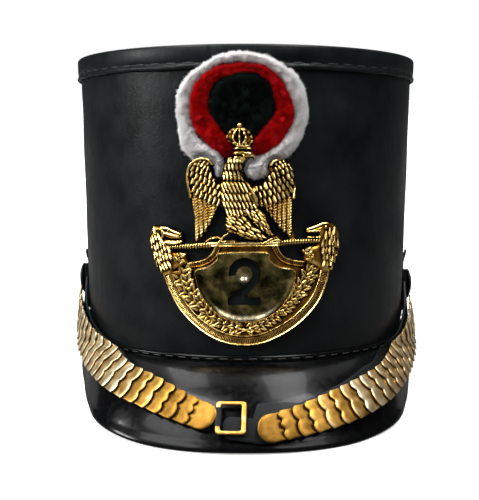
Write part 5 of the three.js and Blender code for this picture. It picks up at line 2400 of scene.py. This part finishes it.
    def leaves(
        self, relief: Relief, path: Outline, pitch: float, spread: float, length: float,
        half: float, lobes: int, zone: float, seed: int,
    ) -> None:
        """Lays pairs of leaves and a middle one along a stem, from its top to its foot.

        Args:
            relief: The sheet that they are laid on.
            path: The stem, from its foot.
            pitch: Distance from one pair to the next.
            spread: Angle between a side leaf and the stem, in degrees.
            length: Length of a leaf at the foot.
            half: Half its width.
            lobes: Waves of its edge.
            zone: How much larger the leaves at the top are, as a share.
            seed: Seed of their unevenness.
        """
        rng = np.random.default_rng(seed)
        line = rounded_outline(path, 6, closed=False)
        sums = lengths_along(line)
        count = int(sums[-1] / pitch)
        for index in range(count, 0, -1):
            place = sums[-1] * index / (count + 0.6)
            here, ahead = along_path(line, sums, np.array([place, place + 0.5]))
            way = math.atan2(ahead[1] - here[1], ahead[0] - here[0])
            wide = 1.0 + zone * index / count
            for side in (-1.0, 1.0, 0.0):
                turn = way + side * math.radians(spread) + math.radians(rng.normal(0.0, 9.0))
                size = length * wide * (0.85 if side == 0.0 else 1.0) * rng.uniform(0.92, 1.08)
                root = here + 0.4 * side * np.array([-math.sin(way), math.cos(way)])
                tip = root + size * np.array([math.cos(turn), math.sin(turn)])
                relief.feather(
                    root, tip, half * wide, 1.35 if side else 1.7, vein=-0.7, bow=-side * 0.4,
                    lobes=lobes, pointed=True,
                )

    def wreaths(self, relief: Relief) -> None:
        """Oak leaves on the left, laurel on the right, crossing below the field.

        Args:
            relief: The sheet that it is stamped in.
        """
        self.leaves(relief, self.wreath_left, 3.6, 52.0, 5.4, 1.55, 3, 0.45, 81)
        self.leaves(relief, self.wreath_right, 3.1, 40.0, 5.0, 1.05, 0, 0.5, 82)
        relief.settle()
        relief.ridge([(5.4, 20.2), (1.0, 18.4), (-3.0, 16.9)], 0.5, 0.9)
        relief.ridge([(-4.0, 20.0), (0.8, 18.4), (5.2, 16.9)], 0.5, 0.9)

    def lion_head(self, relief: Relief) -> None:
        """Lion's head in profile with its mane down the rim.

        Args:
            relief: The sheet that it is stamped in.
        """
        relief.mass(rounded_outline(self.lion, 3), 3.6, 3.0, foot=1.4)
        relief.settle()
        relief.plumage(self.mane, -62.0, 5.6, 1.0, 1.7, 91, 1.9)
        stem = ((-37.0, 52.0), (-35.0, 57.5), (-33.6, 62.6))
        self.leaves(relief, stem, 2.9, 44.0, 4.2, 1.1, 2, 0.0, 84)
        relief.settle()
        relief.ridge([(-46.0, 74.0), (-41.4, 73.6), (-38.4, 72.2), (-34.4, 71.0)], 0.9, 0.9)
        relief.ridge([(-45.0, 71.2), (-41.0, 70.4), (-36.4, 69.6), (-34.0, 69.6)], 0.8, 0.9)
        relief.ridge([(-44.4, 66.2), (-39.0, 65.4), (-34.6, 65.8)], 0.8, 0.9)
        relief.groove([(-43.6, 68.2), (-39.0, 67.6), (-33.4, 67.9)], 0.55, 1.9)
        relief.pearl((-41.4, 72.2), 0.6, 0.6)
        relief.ridge([(-45.6, 73.4), (-44.2, 70.6), (-45.0, 67.4), (-42.6, 64.2)], 0.6, 1.1)

    def bird_head(self, relief: Relief) -> None:
        """Eagle's head in profile, its neck feathers running into the rim.

        Args:
            relief: The sheet that it is stamped in.
        """
        relief.mass(rounded_outline(self.bird, 3), 3.6, 2.8, foot=1.4)
        relief.settle()
        relief.plumage(self.neck, -100.0, 5.2, 0.95, 1.6, 92, 1.9)
        relief.settle()
        relief.ridge([(34.6, 73.6), (38.6, 74.8), (43.0, 76.4), (46.6, 76.6)], 0.8, 0.9)
        relief.ridge([(34.8, 71.9), (38.6, 72.2), (42.0, 72.4)], 0.7, 0.9)
        relief.ridge([(35.4, 69.0), (39.2, 69.2), (42.0, 68.0)], 0.6, 0.9)
        relief.groove([(33.8, 70.7), (38.0, 70.8), (41.4, 70.6)], 0.45, 1.6)
        relief.groove([(35.6, 73.0), (39.4, 73.8), (42.6, 74.6)], 0.3, 0.7)
        relief.pearl((45.2, 74.4), 0.65, 0.7)
        stem = ((39.0, 54.0), (36.6, 58.0), (34.4, 62.0))
        self.leaves(relief, stem, 2.9, 38.0, 3.6, 0.8, 0, 0.0, 83)

    def swept(
        self, name: str, path: Array, inward: Array, section: Array, teeth: float,
        ribbed: tuple[float, float], rib_height: float,
    ) -> Piece:
        """Moulding swept along a path on the unrolled plate, with ribs across part of it.

        Args:
            name: Name of the new object.
            path: Points of its outer edge.
            inward: Unit directions across it, one for each point.
            section: Distance inwards and height of each corner of the section.
            teeth: Pitch of the ribs.
            ribbed: Where the ribs lie, as distances inwards.
            rib_height: Height of the ribs.

        Returns:
            The moulding, bent round the tube, with its tarnish and painted shade marked.
        """
        sums = lengths_along(path)
        count = int(sums[-1] / teeth) * 4
        places = np.linspace(0.0, sums[-1], count + 1)
        centre, across = along_path(path, sums, places), unit(along_path(inward, sums, places))
        tooth = 0.5 - 0.5 * np.cos(2.0 * math.pi * np.arange(count + 1) / 4.0 + 0.6)[:, None]
        wide, tall = section.T[:, None, :]
        inside = (wide > ribbed[0]) & (wide < ribbed[1]) & (tall > 1.0)
        # Painted shade between the ribs and on the low parts of the section, paler on the ribs'
        # crests and the high lines.
        relief = np.where(inside, 0.9 * tooth, np.clip((tall - 1.3) / 1.1, 0.1, 1.0))
        rings = across_path(centre, across, wide, tall + rib_height * tooth * inside)
        return SEAT.bend(loft(name, rings, Ends.CAPPED, relief))

    def border(self) -> Piece:
        """Rounded rim, ribbed band, groove and bright inner line round the shield.

        Returns:
            The mesh object.
        """
        path = rounded_outline(self.rim, 8, closed=False)
        section = np.array([
            (0, 0.3), (0, 1.7), (0.25, 2.4), (0.7, 2.7), (1.15, 2.4), (1.35, 1.6), (1.6, 1.55),
            (2.5, 1.5), (3.4, 1.5), (3.55, 1.75), (3.75, 2), (4.2, 2.05), (4.65, 1.95),
            (4.85, 1.55), (5.1, 1.45), (5.25, 2.2), (5.5, 2.5), (5.75, 2.2), (5.85, 0.9),
            (5.85, 0.3),
        ])
        inward = leftwards(np.gradient(path, axis=0))
        return self.swept("shield_border_brass", path, inward, section, 1.0, (1.45, 3.45), 0.6)

    def notch_moulding(self, name: str, notch: Outline) -> Piece:
        """Three ridges with a ribbed band between, round a notch.

        Args:
            name: Name of the object.
            notch: Edge of the notch.

        Returns:
            The moulding, bent round the tube.
        """
        path = rounded_outline(notch, 8, closed=False)
        section = np.array([
            (0, 0.3), (0, 1.6), (0.2, 2.2), (0.5, 2.4), (0.85, 2.2), (1, 1.5), (1.7, 1.45),
            (2.4, 1.5), (2.55, 2), (2.8, 2.25), (3.1, 2), (3.25, 1.4), (3.9, 1.3), (4, 0.3),
        ])
        inward = leftwards(np.gradient(path, axis=0))
        middle = np.array([0.8, 45.0]) - path
        away = np.sum(inward * middle, axis=1, keepdims=True) < 0.0
        inward = np.where(away, -inward, inward)
        return self.swept(f"{name}_brass", path, inward, section, 1.2, (1.05, 2.35), 0.45)

    def field_frame(self) -> Piece:
        """Bright bevelled frame of the field, a closed ring.

        Returns:
            The mesh object.
        """
        path = rounded_outline(self.field, 6)
        across = leftwards(np.roll(path, -1, axis=0) - np.roll(path, 1, axis=0))
        middle = np.array(self.field_middle) - path
        if float(np.mean(np.sum(across * middle, axis=1))) < 0.0:
            across = -across
        section = np.array([
            (-1, 0.3), (-0.95, 1.5), (-0.6, 2.3), (-0.1, 2.7), (0.3, 2.6), (0.6, 2), (0.7, 0.3),
        ])
        wide, tall = section.T[:, None, :]
        rings = across_path(path, across, wide, tall)
        # Painted shade: darker on the low parts of the section, paler higher up.
        relief = np.broadcast_to(np.clip((tall - 0.9) / 1.6, 0.1, 1.0), rings.shape[:2])
        return SEAT.bend(loft("field_frame_brass", rings, Ends.JOINED, relief))

    def polished_field(self) -> Piece:
        """Domed, burnished field with the numeral cut through it.

        Returns:
            The mesh object.
        """
        relief = Relief((-27.6, 22.4), (29.4, 62.2), 0.36)
        field = rounded_outline(self.field, 4)
        relief.mass(field, 2.0, 1.0, foot=1.3)
        depth = np.maximum(-outline_distance(field, relief.x, relief.y), 0.0)
        dimple = np.exp(-(((relief.x - 0.2) / 2.9) ** 2) - ((relief.y - 48.4) / 2.7) ** 2)
        relief.height = 1.5 + 1.5 * np.exp(-((depth / 2.4) ** 2)) - 1.5 * dimple
        # Painted reflection along the lower edge of the field and a painted highlight in the bowl of
        # the numeral, in place of tarnish.
        low = smoothstep(-relief.y, -34.0, -28.0) * smoothstep(-np.abs(relief.x - 1.0), -19.0, -9.0)
        broken = 0.75 + 0.25 * np.sin(1.3 * relief.x) * np.sin(0.61 * relief.x + 1.0)
        painted_reflection = low * broken * np.exp(-(((depth - 1.7) / 1.2) ** 2))
        shine = np.exp(-(((relief.x + 0.2) / 2.6) ** 2) - ((relief.y - 46.8) / 1.7) ** 2)
        relief.painted_light = np.clip(painted_reflection + 1.2 * shine, 0.0, 1.0)
        relief.cut(self.numeral())
        return SEAT.bend(relief.sheet("field_polished_brass", 0.5))

    def numeral(self) -> Array:
        """Outline of the plain figure two.

        Returns:
            Its corners.
        """
        middle = np.array([0.6, 49.4])
        outer = np.radians(np.linspace(-26.0, 190.0, 18))
        inner = np.radians(np.linspace(190.0, -22.0, 14))
        return np.vstack([
            [(-8.6, 32.2), (9.2, 32.3), (9.2, 36.5), (-0.2, 36.5), (4.6, 40.6), (7.4, 43.9)],
            middle + 8.8 * np.stack([np.cos(outer), np.sin(outer)], axis=1),
            middle + 4.3 * np.stack([np.cos(inner), np.sin(inner)], axis=1),
            [(3.2, 45.6), (0.2, 42.9), (-4.4, 39.4), (-8.6, 36.1)],
        ])

    def bolt(self, name: str, points: Outline) -> Piece:
        """One arm of the thunderbolt, a tapering rod wound with wire.

        Args:
            name: Name of the new object.
            points: Middle of the rod, from the head's mouth to the bar.

        Returns:
            The rod, bent round the tube.
        """
        path = rounded_outline(points, 24, closed=False)
        sums = lengths_along(path)
        places = np.linspace(0.0, sums[-1], 140)
        centre = along_path(path, sums, places)
        turns = np.linspace(0.0, 2.0 * math.pi, 14, endpoint=False)
        wound = np.cos(turns + places[:, None] * 2.0 * math.pi / self.wire_pitch)
        radius = mixed(*self.arm_radii, places / sums[-1])[:, None] * (1.0 + 0.16 * wound)
        rings = across_path(
            centre, leftwards(np.gradient(centre, axis=0)), np.cos(turns) * radius,
            2.6 + 0.9 * np.sin(turns) * radius,
        )
        # Painted shade in the grooves of the wire, paler on its turns.
        return SEAT.bend(loft(f"{name}_brass", rings, Ends.CAPPED, 0.55 + 0.45 * wound))

    def middle_bar(self) -> Piece:
        """Smooth double bar between the two arms.

        Returns:
            The mesh object.
        """
        path = np.stack([np.linspace(-18.8, 20.0, 60), np.linspace(66.7, 67.0, 60)], axis=1)
        down = np.tile([0.0, -1.0], (60, 1))
        section = np.array([
            (0, 0.3), (0, 2.6), (0.25, 3.3), (0.7, 3.5), (1.15, 3.3), (1.35, 2.5), (1.5, 2.3),
            (1.7, 2.8), (2.1, 3), (2.45, 2.7), (2.6, 2), (2.6, 0.3),
        ])
        return self.swept("thunderbolt_bar_brass", path, down, section, 2.0, (9.0, 9.1), 0.0)


# Fur cockade


@dataclass
class FurRoll:
    """One colour of the cockade: dense pile on a soft roll, drawn along a spine."""

    name: str
    node: str
    finish: FurPile
    spine: tuple[tuple[float, float, float], ...]
    pad_height: float
    pile: float
    strands: int
    seed: int
    closed: bool = False

    def curve(self, count: int) -> tuple[Array, Array, Array, Array]:
        """Places, sideways directions, half widths and heights along the spine.

        Args:
            count: How many places there are.

        Returns:
            Four arrays with a row for each place.
        """
        table = np.asarray(self.spine, dtype=float)
        line = rounded_outline(table[:, :2], 10, closed=self.closed)
        wide = rounded_outline(table[:, [2, 2]], 10, closed=self.closed)[:, 0]
        if self.closed:
            line, wide = np.vstack([line, line[:1]]), np.append(wide, wide[0])
        sums = lengths_along(line)
        places = np.linspace(0.0, sums[-1], count, endpoint=not self.closed)
        centre = along_path(line, sums, places)
        half = np.interp(places, sums, wide)
        if self.closed:
            step = np.roll(centre, -1, axis=0) - np.roll(centre, 1, axis=0)
        else:
            step = np.gradient(centre, axis=0)
            end = np.minimum(places, sums[-1] - places)
            half = half * dome(1.0 - np.minimum(end / half, 1.0), 0.02)
        half = np.maximum(half - 0.9 * self.pile, 0.5)
        height = self.pad_height * np.minimum(half / half.max() + 0.25, 1.0)
        return centre, leftwards(step), half, height

    def pad(self) -> Piece:
        """Soft roll that the pile grows from.

        Returns:
            The mesh object.
        """
        centre, across, half, height = self.curve(120)
        turns = np.linspace(0.0, math.pi, 11)
        wide = np.concatenate([np.cos(turns), [-0.6, 0.0, 0.6]])
        tall = np.concatenate([np.sin(turns), [-0.05, -0.05, -0.05]])
        points = across_path(centre, across, half[:, None] * wide, 0.8 + height[:, None] * tall)
        points[..., 2] = self.tucked(points)
        piece = loft(f"{self.name}_roll", points, Ends.JOINED if self.closed else Ends.CAPPED)
        mark(piece, "tip", np.zeros(len(piece.data.vertices)))
        mark(piece, "tone", np.full(len(piece.data.vertices), 0.5))
        move_points(piece, SEAT.bent(points_of(piece), 0.0))
        return piece

    def tucked(self, points: Array) -> Array:
        """Depth of points, pressed flat where the plate lies over them.

        Args:
            points: Points of the unrolled plate.

        Returns:
            Their depths.
        """
        distance = eagle_shadow(points[..., 0], points[..., 1])
        under = SEAT.off(points[..., 1]) + 0.1
        free = smoothstep(distance, 0.2, 3.4)
        pressed = np.minimum(points[..., 2], np.maximum(under, 0.9))
        return mixed(pressed, points[..., 2], free)

    def fur(self) -> Piece:
        """Thousands of tapered strands, grouped in small tufts.

        Returns:
            The mesh object.
        """
        rng = np.random.default_rng(self.seed)
        steps = 400
        centre, across, half, height = self.curve(steps)
        weight = np.cumsum(half)
        pick = np.interp(rng.uniform(0.0, weight[-1], self.strands), weight, np.arange(float(steps)))
        index = np.clip(pick.astype(int), 0, steps - 1)
        side = rng.uniform(-1.0, 1.0, self.strands)
        side = np.sign(side) * np.abs(side) ** 0.92
        angle = np.arcsin(np.clip(side, -1.0, 1.0))
        wide = half[index] * np.sin(angle)
        tall = 0.8 + height[index] * np.cos(angle)
        root = np.concatenate([centre[index] + across[index] * wide[:, None], tall[:, None]], axis=1)
        root[:, :2] += rng.normal(0.0, 0.25, (self.strands, 2))
        out = np.concatenate([across[index] * np.sin(angle)[:, None], np.cos(angle)[:, None]], axis=1)
        tuft = Ripples(self.seed + 1, 18, 9.0, 2.2)
        turn = Ripples(self.seed + 2, 18, 14.0, 3.0)
        lean = np.stack([tuft.at(root[:, 0], root[:, 1]), turn.at(root[:, 1], root[:, 0])], axis=1)
        out[:, :2] += 0.34 * lean + rng.normal(0.0, 0.16, (self.strands, 2))
        out = unit(out)
        swell = 1.0 + 0.14 * tuft.at(root[:, 1] + 31.0, root[:, 0] - 17.0)
        length = self.pile * swell * rng.uniform(0.72, 1.12, self.strands)
        length = length * np.where(rng.uniform(0.0, 1.0, self.strands) < 0.04, 1.5, 1.0)
        tip = root + out * length[:, None]
        sizes = np.linalg.norm(tip - root, axis=1, keepdims=True)
        root[:, 2] = self.tucked(root)
        tip[:, 2] = np.maximum(self.tucked(tip), 0.5)
        pressed = np.linalg.norm(tip - root, axis=1, keepdims=True)
        tip = root + unit(tip - root) * np.minimum(sizes, pressed)
        return self.strand_mesh(SEAT.bent(root, 0.0), SEAT.bent(tip, 0.0), rng)

    def strand_mesh(self, root: Array, tip: Array, rng: np.random.Generator) -> Piece:
        """Closed three sided spikes from roots to tips, all in one mesh.

        Args:
            root: Where each strand grows.
            tip: Where each strand ends.
            rng: Source of their unevenness.

        Returns:
            The mesh object.
        """
        along = unit(tip - root)
        side = unit(np.cross(along, np.array([0.31, 0.17, 0.93])))
        other = np.cross(along, side)
        thick = rng.uniform(0.15, 0.24, len(root))[:, None]
        corners = [
            root - 0.3 * along + thick * (side * math.cos(angle) + other * math.sin(angle))
            for angle in (0.0, 2.0 * math.pi / 3.0, 4.0 * math.pi / 3.0)
        ]
        points = np.stack([*corners, tip], axis=1).reshape(-1, 3)
        base = np.arange(len(root))[:, None, None] * 4
        faces = base + np.array([[0, 1, 3], [1, 2, 3], [2, 0, 3], [2, 1, 0]])[None]
        mesh = bpy.data.meshes.new(f"{self.name}_pile")
        count = faces.size // 3
        mesh.vertices.add(len(points))
        mesh.vertices.foreach_set("co", points.reshape(-1))
        mesh.loops.add(count * 3)
        mesh.loops.foreach_set("vertex_index", faces.reshape(-1).astype(np.int32))
        mesh.polygons.add(count)
        mesh.polygons.foreach_set("loop_start", (np.arange(count) * 3).astype(np.int32))
        mesh.update(calc_edges=True)
        mesh.validate()
        piece = linked(f"{self.name}_pile", mesh)
        mark(piece, "tip", np.tile([0.0, 0.0, 0.0, 1.0], len(root)))
        mark(piece, "tone", np.repeat(rng.uniform(0.0, 1.0, len(root)), 4))
        return piece

    def build(self, frame: HatFrame) -> None:
        """Builds and dresses the roll and its pile."""
        frame.stand(self.pad(), self.finish, angle=80.0)
        frame.stand(self.fur(), self.finish, self.node, angle=80.0)


def eagle_shadow(x: Array, y: Array) -> Array:
    """Distance to the eagle figure's outline, negative under it.

    Args:
        x: Where to measure, along the arc.
        y: Where to measure, upwards.

    Returns:
        One distance for each place.
    """
    figure = EagleFigure()
    best = np.full(np.shape(x), FAR)
    for outline in (figure.crown, figure.head, figure.body, figure.left_wing, figure.right_wing):
        best = np.minimum(best, outline_distance(rounded_outline(outline, 3), x, y))
    return best


@dataclass
class Cockade:
    """Green disc, red roll and white roll of the cockade, tucked behind the eagle's crown."""

    rolls: tuple[FurRoll, ...] = (
        FurRoll(
            "pompom_centre", "pompom_centre", GREEN_FUR,
            tuple((-0.9 + 8.0 * math.cos(0.5 * k), 140.2 + 8.0 * math.sin(0.5 * k), 9.3)
                  for k in range(12)),
            5.2, 2.0, 28000, 101, True,
        ),
        FurRoll(
            "pompom_ring_red", "pompom_ring_red", RED_FUR,
            (
                (-5.8, 113.4, 2.6), (-8.6, 116, 4), (-14.4, 121.8, 5.5), (-21.6, 131.7, 5.7),
                (-23.3, 138.9, 5.1), (-22.7, 146.4, 5), (-17.9, 153.9, 4), (-12.8, 157.1, 3.7),
                (-6.6, 158.7, 3.3), (0.1, 159.4, 3), (7.9, 158.6, 2.9), (14, 155.3, 3.1),
                (17.1, 151.6, 3.5), (19.5, 146.7, 4.1), (21.6, 140.5, 4.6), (21.5, 134.1, 5.4),
                (18.9, 128.5, 5.7), (13.9, 122.6, 6.3), (8.8, 117.2, 5), (5.4, 113.4, 3.2),
            ),
            4.8, 1.9, 38000, 111,
        ),
        FurRoll(
            "pompom_ring_white", "pompom_ring_white", WHITE_FUR,
            (
                (-13.6, 102.4, 2.4), (-12.8, 107.6, 3.1), (-16, 112.6, 4.4), (-22.4, 114.6, 5.7),
                (-28.1, 119.1, 5.8), (-30.5, 126.3, 4.8), (-31.8, 132, 4.3), (-32.3, 138.4, 4.3),
                (-31.5, 145.9, 4.2), (-27.7, 152.9, 3.7), (-23, 157.1, 3.4), (-13.8, 163.1, 3.2),
                (-8.2, 164.7, 3.2), (-0.4, 165.3, 3.3), (8.7, 164, 3.1), (16.3, 160.6, 3.4),
                (24.3, 154.2, 4.4), (27.7, 148, 4.8), (30.1, 141.1, 4.6), (30.7, 134.6, 4.3),
                (28.6, 127.1, 4.5), (25.2, 120.4, 4.9), (19.3, 115.3, 5.1), (13.2, 111.2, 5.4),
                (8.6, 107.4, 6.6), (4.6, 106, 6.4), (0.4, 105.2, 5.6),
            ),
            4.4, 1.8, 45000, 121,
        ),
    )

    def build(self, frame: HatFrame) -> None:
        """Builds and dresses the three rolls."""
        for roll in self.rolls:
            roll.build(frame)


# Studio


@dataclass
class Studio:
    """Camera at the photograph's angle, plain floor and soft lights."""

    focal_pixels: float = 923.5
    centre_x_pixels: float = 245.7
    distance: float = 603.4
    aim_height: float = 52.2
    pitch: float = 5.62
    turn: float = 0.67
    room: str = "#505052"
    backdrop: str = "#ffffff"

    def build(self, frame: HatFrame) -> None:
        """Adds the camera, the floor, the lights and the surroundings.

        Args:
            frame: Where the upright hat stands.
        """
        self.camera(frame)
        self.floor()
        self.lights(frame)
        self.surroundings()

    def camera(self, frame: HatFrame) -> None:
        """Places the camera by the photograph's focal length and pitch.

        Args:
            frame: Where the upright hat stands.
        """
        pitch = math.radians(self.pitch)
        ahead, over = math.cos(pitch), math.sin(pitch)
        place = Vector((0.0, -self.distance * ahead, self.aim_height + self.distance * over))
        axes = Matrix(((1.0, 0.0, 0.0), (0.0, over, -ahead), (0.0, ahead, over))).to_4x4()
        turn = Matrix.Rotation(math.radians(self.turn), 4, "Z")
        world = frame.matrix @ turn @ Matrix.Translation(place) @ axes
        longer = max(PICTURE_WIDTH, PICTURE_HEIGHT)
        data = bpy.data.cameras.new("camera")
        data.sensor_fit = "AUTO"
        data.sensor_width = 36.0
        data.lens = self.focal_pixels / longer * data.sensor_width
        data.shift_x = (PICTURE_WIDTH / 2.0 - self.centre_x_pixels) / longer
        data.clip_start = 0.01
        camera = linked("camera", data)
        rotation = world.to_3x3().normalized()
        camera.matrix_world = Matrix.Translation(world.translation) @ rotation.to_4x4()
        bpy.context.scene.camera = camera

    def floor(self) -> None:
        """Large flat sheet of studio paper under the hat."""
        bpy.ops.mesh.primitive_circle_add(
            vertices=96, radius=1.6, fill_type="NGON", location=(0.0, 0.0, -0.0004)
        )
        floor = named("studio_floor")
        bpy.ops.object.transform_apply(location=True, rotation=True, scale=True)
        floor.data.materials.append(FloorPaper().material())

    def soft_box(
        self, frame: HatFrame, name: str, place: Spot, size: Spot, radiance: float,
        swing: float | None = None,
    ) -> None:
        """Adds one soft box that faces the middle of the hat.

        Args:
            frame: The hat's frame, which its place is given in.
            name: Name of the light.
            place: Its middle, in millimetres from the foot of the tube.
            size: Its width and height in metres.
            radiance: How bright its cloth looks, 1 for a white that fills the picture's range.
            swing: For a box that hangs level, how far it is turned, in degrees.
        """
        data = bpy.data.lights.new(name, "AREA")
        data.shape = "RECTANGLE"
        data.size, data.size_y = size
        data.energy = 4.0 * radiance * size[0] * size[1]
        light = linked(name, data)
        light.location = frame.matrix @ Vector(place)
        if swing is None:
            target = frame.matrix @ Vector((0.0, 0.0, 60.0))
            light.rotation_euler = (target - light.location).to_track_quat("-Z", "Y").to_euler()
        else:
            light.rotation_euler = (0.0, 0.0, math.radians(swing))

    def lights(self, frame: HatFrame) -> None:
        """Two long boxes overhead, which the peak mirrors, boxes in front and a light behind.

        Args:
            frame: Where the upright hat stands.
        """
        self.soft_box(frame, "overhead_left", (-495.0, 330.0, 1500.0), (0.32, 1.5), 6.6, 0.0)
        self.soft_box(frame, "overhead_right", (340.0, -40.0, 1500.0), (0.42, 1.45), 8.6, 12.0)
        self.soft_box(frame, "front_left", (-844.0, -1043.0, 931.0), (0.85, 0.3), 6.4)
        self.soft_box(frame, "front_right", (616.0, -1209.0, 908.0), (0.6, 0.22), 5.6)
        self.soft_box(frame, "key_left", (-659.0, -843.0, 1381.0), (0.75, 0.45), 18.0)
        self.soft_box(frame, "key_right", (642.0, -884.0, 1362.0), (0.6, 0.4), 14.0)
        self.soft_box(frame, "side_left", (-1426.0, -576.0, 500.0), (0.5, 0.26), 30.0)
        data = bpy.data.lights.new("behind", "SUN")
        data.energy = 0.8
        data.angle = math.radians(60.0)
        linked("behind", data).rotation_euler = (math.radians(-30.0), 0.0, 0.0)

    def surroundings(self) -> None:
        """Dim room for the hat to mirror, in front of a white backdrop."""
        world = bpy.data.worlds.new("studio_surroundings")
        bpy.context.scene.world = world
        world.use_nodes = True
        tree = world.node_tree
        background = next(n for n in tree.nodes if n.type == "BACKGROUND")
        seen = add_node(tree, "LightPath", "Is Camera Ray")
        colours = {6: linear(self.room), 7: linear(self.backdrop)}
        colour = add_node(tree, "Mix", 2, {"data_type": "RGBA"}, colours, {0: seen})
        wire(tree, background, {"Strength": 1.0}, {"Color": colour})
        bpy.context.scene.view_settings.view_transform = "Standard"


def main() -> None:
    """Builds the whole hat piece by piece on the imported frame."""
    logging.basicConfig(level=logging.INFO, format="%(message)s")
    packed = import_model()
    for piece in bpy.context.scene.objects:
        piece.select_set(False)
    frame = HatFrame.of_packed(packed["nodes"])
    Studio().build(frame)
    Body().build(frame)
    TopBand().build(frame)
    Peak().build(frame)
    for row in (LEFT_ROW, RIGHT_ROW):
        route = row.build(frame)
        Boss(row.side).build(frame, route)
        Tab(row.side).build(frame)
    Buckle().build(frame)
    Cockade().build(frame)
    ShieldPlate().build(frame)
    EagleFigure().build(frame)


if __name__ == "__main__":
    main()
